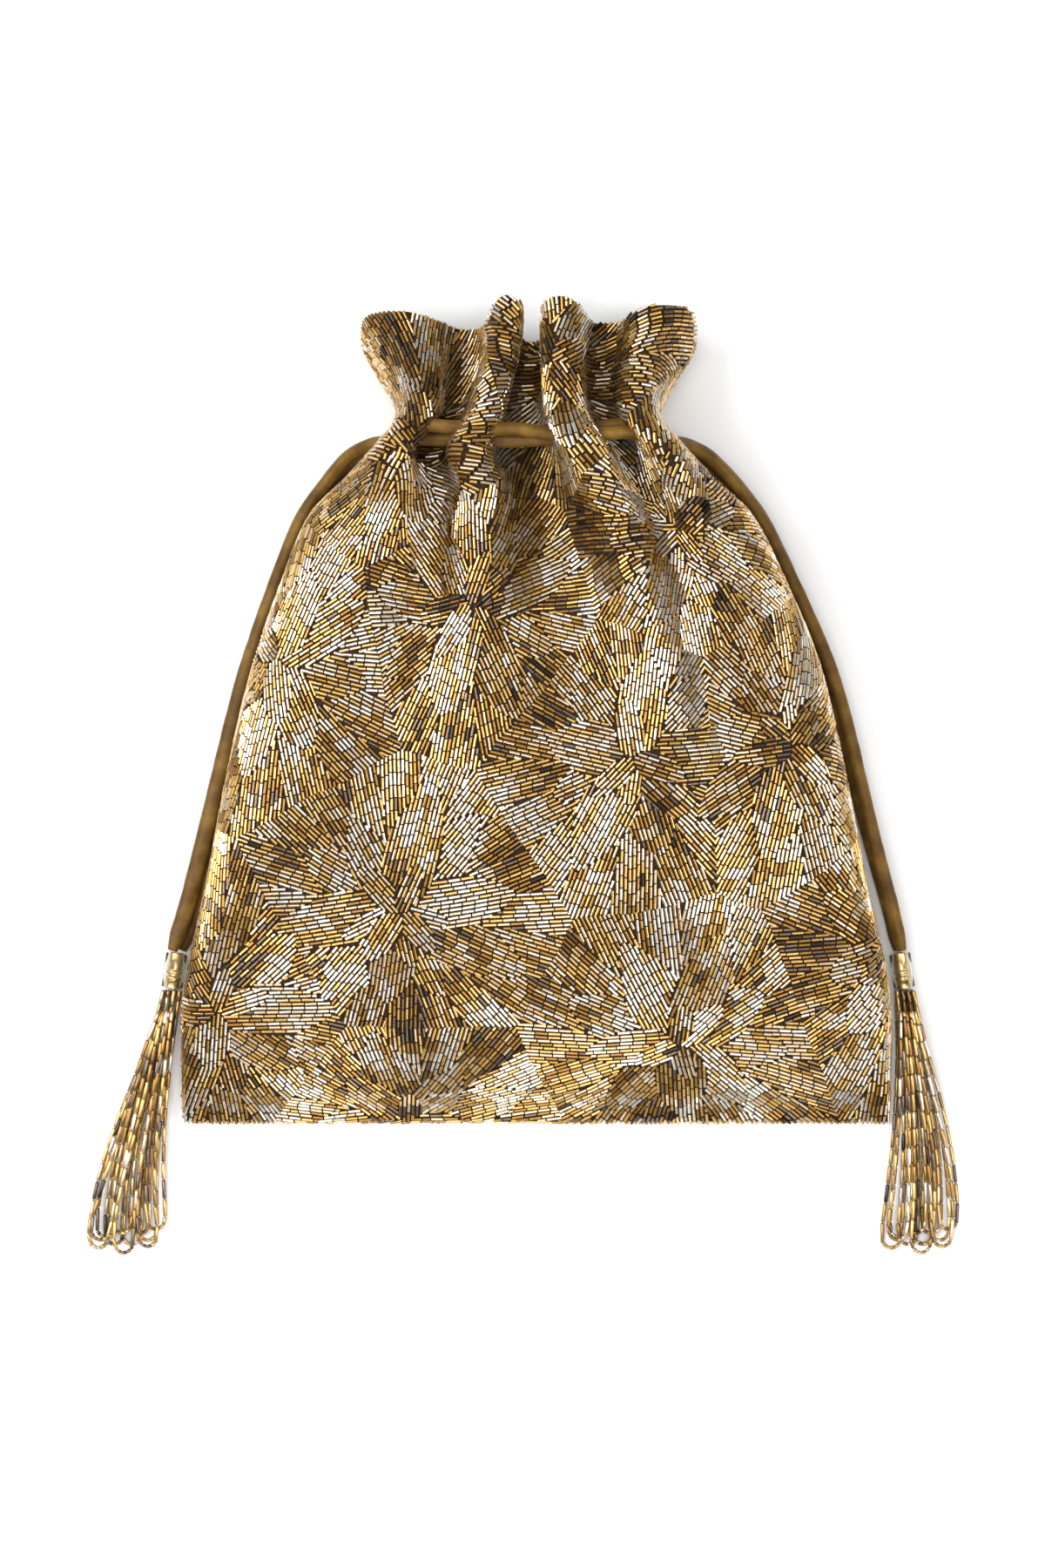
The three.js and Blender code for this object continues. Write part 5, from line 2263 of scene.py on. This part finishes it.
@dataclass
class TasselCap:
    """A brass collar with two ring bands, in a clear sleeve."""

    tassel: Tassel
    sides: int = 48
    edge: float = 0.3
    bevel: float = 0.09
    bands: Pairs = ((0.48, 0.6), (0.64, 0.76))
    bands_from: float = 0.46
    bands_to: float = 0.78
    band_parts: int = 9
    band_round: float = 0.6
    sleeve_inset: float = 0.4
    sleeve_lip: float = 0.12

    def turned(self, name: str, profile: Sequence[Pair], material: Material) -> Piece:
        """Turns a profile round the collar's axis.

        Args:
            name: The piece's name.
            profile: Pairs of radius and distance down the axis, in order round the section.
            material: Its finish.

        Returns:
            The mesh object.
        """
        down = self.tassel.down
        side = np.array([-down[1], down[0], 0.0])
        up = np.array([0.0, 0.0, 1.0])
        angle = circle(self.sides)[:, None]
        turn = np.cos(angle) * side + np.sin(angle) * up
        points = [self.tassel.top + down * along + turn * radius for radius, along in profile]
        faces = rod_faces(len(profile), self.sides)
        if profile[0] == profile[-1]:
            points = points[:-1]
            faces = [faces[0] % (len(points) * self.sides)]
        return mesh_object(name, np.concatenate(points), faces, material)

    def build(self) -> list[Piece]:
        """Makes the collar and its sleeve.

        Returns:
            The two pieces.
        """
        t = self.tassel
        word, length, radius, band = t.side.word, t.collar_length, t.collar_radius, t.band
        neck = radius - self.edge
        fine = [(neck, 0.0), (radius - self.bevel, self.bevel), (radius, self.edge)]
        bands = []
        for start, end in self.bands:
            for share in np.linspace(0, 1, self.band_parts):
                bulge = math.sin(math.pi * share) ** self.band_round if 0 < share < 1 else 0.0
                at = (start + (end - start) * share) * length
                bands.append((neck + (band + self.edge) * bulge, at))
        profile = [
            *fine,
            (radius, self.bands_from * length),
            *bands,
            (radius, self.bands_to * length),
            *[(r, length - a) for r, a in reversed(fine)],
        ]
        collar = self.turned(f"{word}_collar", profile, BrassFinish().material())
        bore = radius + band + t.sleeve_clearance
        outer = bore + t.sleeve_wall
        top, foot, lip = self.sleeve_inset, length - self.sleeve_inset, self.sleeve_lip
        ring = [
            (bore + lip, top), (outer - lip, top), (outer, top + lip), (outer, foot - lip),
            (outer - lip, foot), (bore + lip, foot), (bore, foot - lip), (bore, top + lip),
            (bore + lip, top),
        ]
        sleeve = self.turned(f"{word}_sleeve", ring, ClearFinish().material())
        dress(collar, f"tassel_{word}_collar")
        dress(sleeve, f"tassel_{word}_sleeve")
        log.info("%s and %s", collar.name, sleeve.name)
        return [collar, sleeve]


# --- Studio ---


@dataclass
class Studio:
    """The floor, the lights and the camera."""

    look_x: float = -4.3
    look_y: float = -21.8
    look_z: float = 12.0
    frame_height: float = 484.2
    distance: float = 1.5
    sensor: float = 36.0
    floor_half: float = 6000.0
    floor_z: float = -0.1
    lit_point: Point = (0.0, -0.02, 0.01)
    background: float = 0.1

    def camera(self) -> None:
        """Makes the camera, which looks straight down."""
        data = bpy.data.cameras.new("camera")
        data.sensor_width = self.sensor
        data.lens = self.sensor * self.distance / (self.frame_height * MM)
        camera = bpy.data.objects.new("camera", data)
        camera.location = (self.look_x * MM, self.look_y * MM, self.look_z * MM + self.distance)
        bpy.context.scene.collection.objects.link(camera)
        bpy.context.scene.camera = camera

    def floor(self) -> None:
        """Makes the floor."""
        square = np.array([(-1, -1, 0), (1, -1, 0), (1, 1, 0), (-1, 1, 0)])
        corners = square * self.floor_half + [0, 0, self.floor_z]
        floor = mesh_object("floor", corners, [np.arange(4)[None]], FloorFinish().material())

    def softbox(self, name: str, at: Point, size: float, power: float) -> None:
        """Adds a soft light that points at the bag.

        Args:
            name: The light's name.
            at: Where it stands, in metres.
            size: Its height and width in metres.
            power: Its power in watts.
        """
        data = bpy.data.lights.new(name, "AREA")
        data.shape = "RECTANGLE"
        data.size, data.size_y, data.energy = size, size, power
        light = bpy.data.objects.new(name, data)
        light.location = at
        light.rotation_mode = "QUATERNION"
        aim = Vector(self.lit_point) - Vector(at)
        light.rotation_quaternion = aim.to_track_quat("-Z", "Y")
        bpy.context.scene.collection.objects.link(light)

    def light(self) -> None:
        """Lights the studio."""
        world = bpy.data.worlds.new("studio")
        world.use_nodes = True
        background = world.node_tree.nodes["Background"].inputs
        background["Color"].default_value = (1, 1, 1, 1)
        background["Strength"].default_value = self.background
        bpy.context.scene.world = world
        bpy.context.scene.view_settings.view_transform = "Standard"
        self.softbox("key", (-1.3, 0.2, 1.5), 0.9, 33)
        self.softbox("fill", (1.35, -0.4, 1.4), 0.9, 18)
        self.softbox("front", (0.1, -1.5, 1.2), 0.8, 11)
        self.softbox("top", (-0.1, 0.2, 2.2), 1.5, 25)


LOOPS_IN_LAYERS = (2, 2, 2, 2, 3)


def main() -> None:
    """Builds the scene."""
    studio = Studio()
    studio.camera()
    log.info("camera")
    bead_finish = BeadFinish(name="strung_beads", roughness=0.22, metallic=0.7).material()
    for route, flat, seed in ((LEFT_ROUTE, 0.28, 5), (RIGHT_ROUTE, 0.0, 9)):
        cap = TasselCap(route.tassel).build()
        Drawstring(route, flat, seed).build(cap)
        for layer, loops in enumerate(LOOPS_IN_LAYERS):
            for loop in range(loops):
                TasselStrand(route.tassel, layer, loop).build(bead_finish)
        log.info("%s tassel", route.tassel.side.word)
    ClothPanel(FRONT_SHAPE, FRONT_FLOWERS, cuts=(118.0,), seed=11, arch_points=7).build()
    ClothPanel(BACK_SHAPE, BACK_FLOWERS, cuts=(), seed=23, arch_points=5).build()
    Lining().build()
    studio.floor()
    studio.light()


if __name__ == "__main__":
    main()
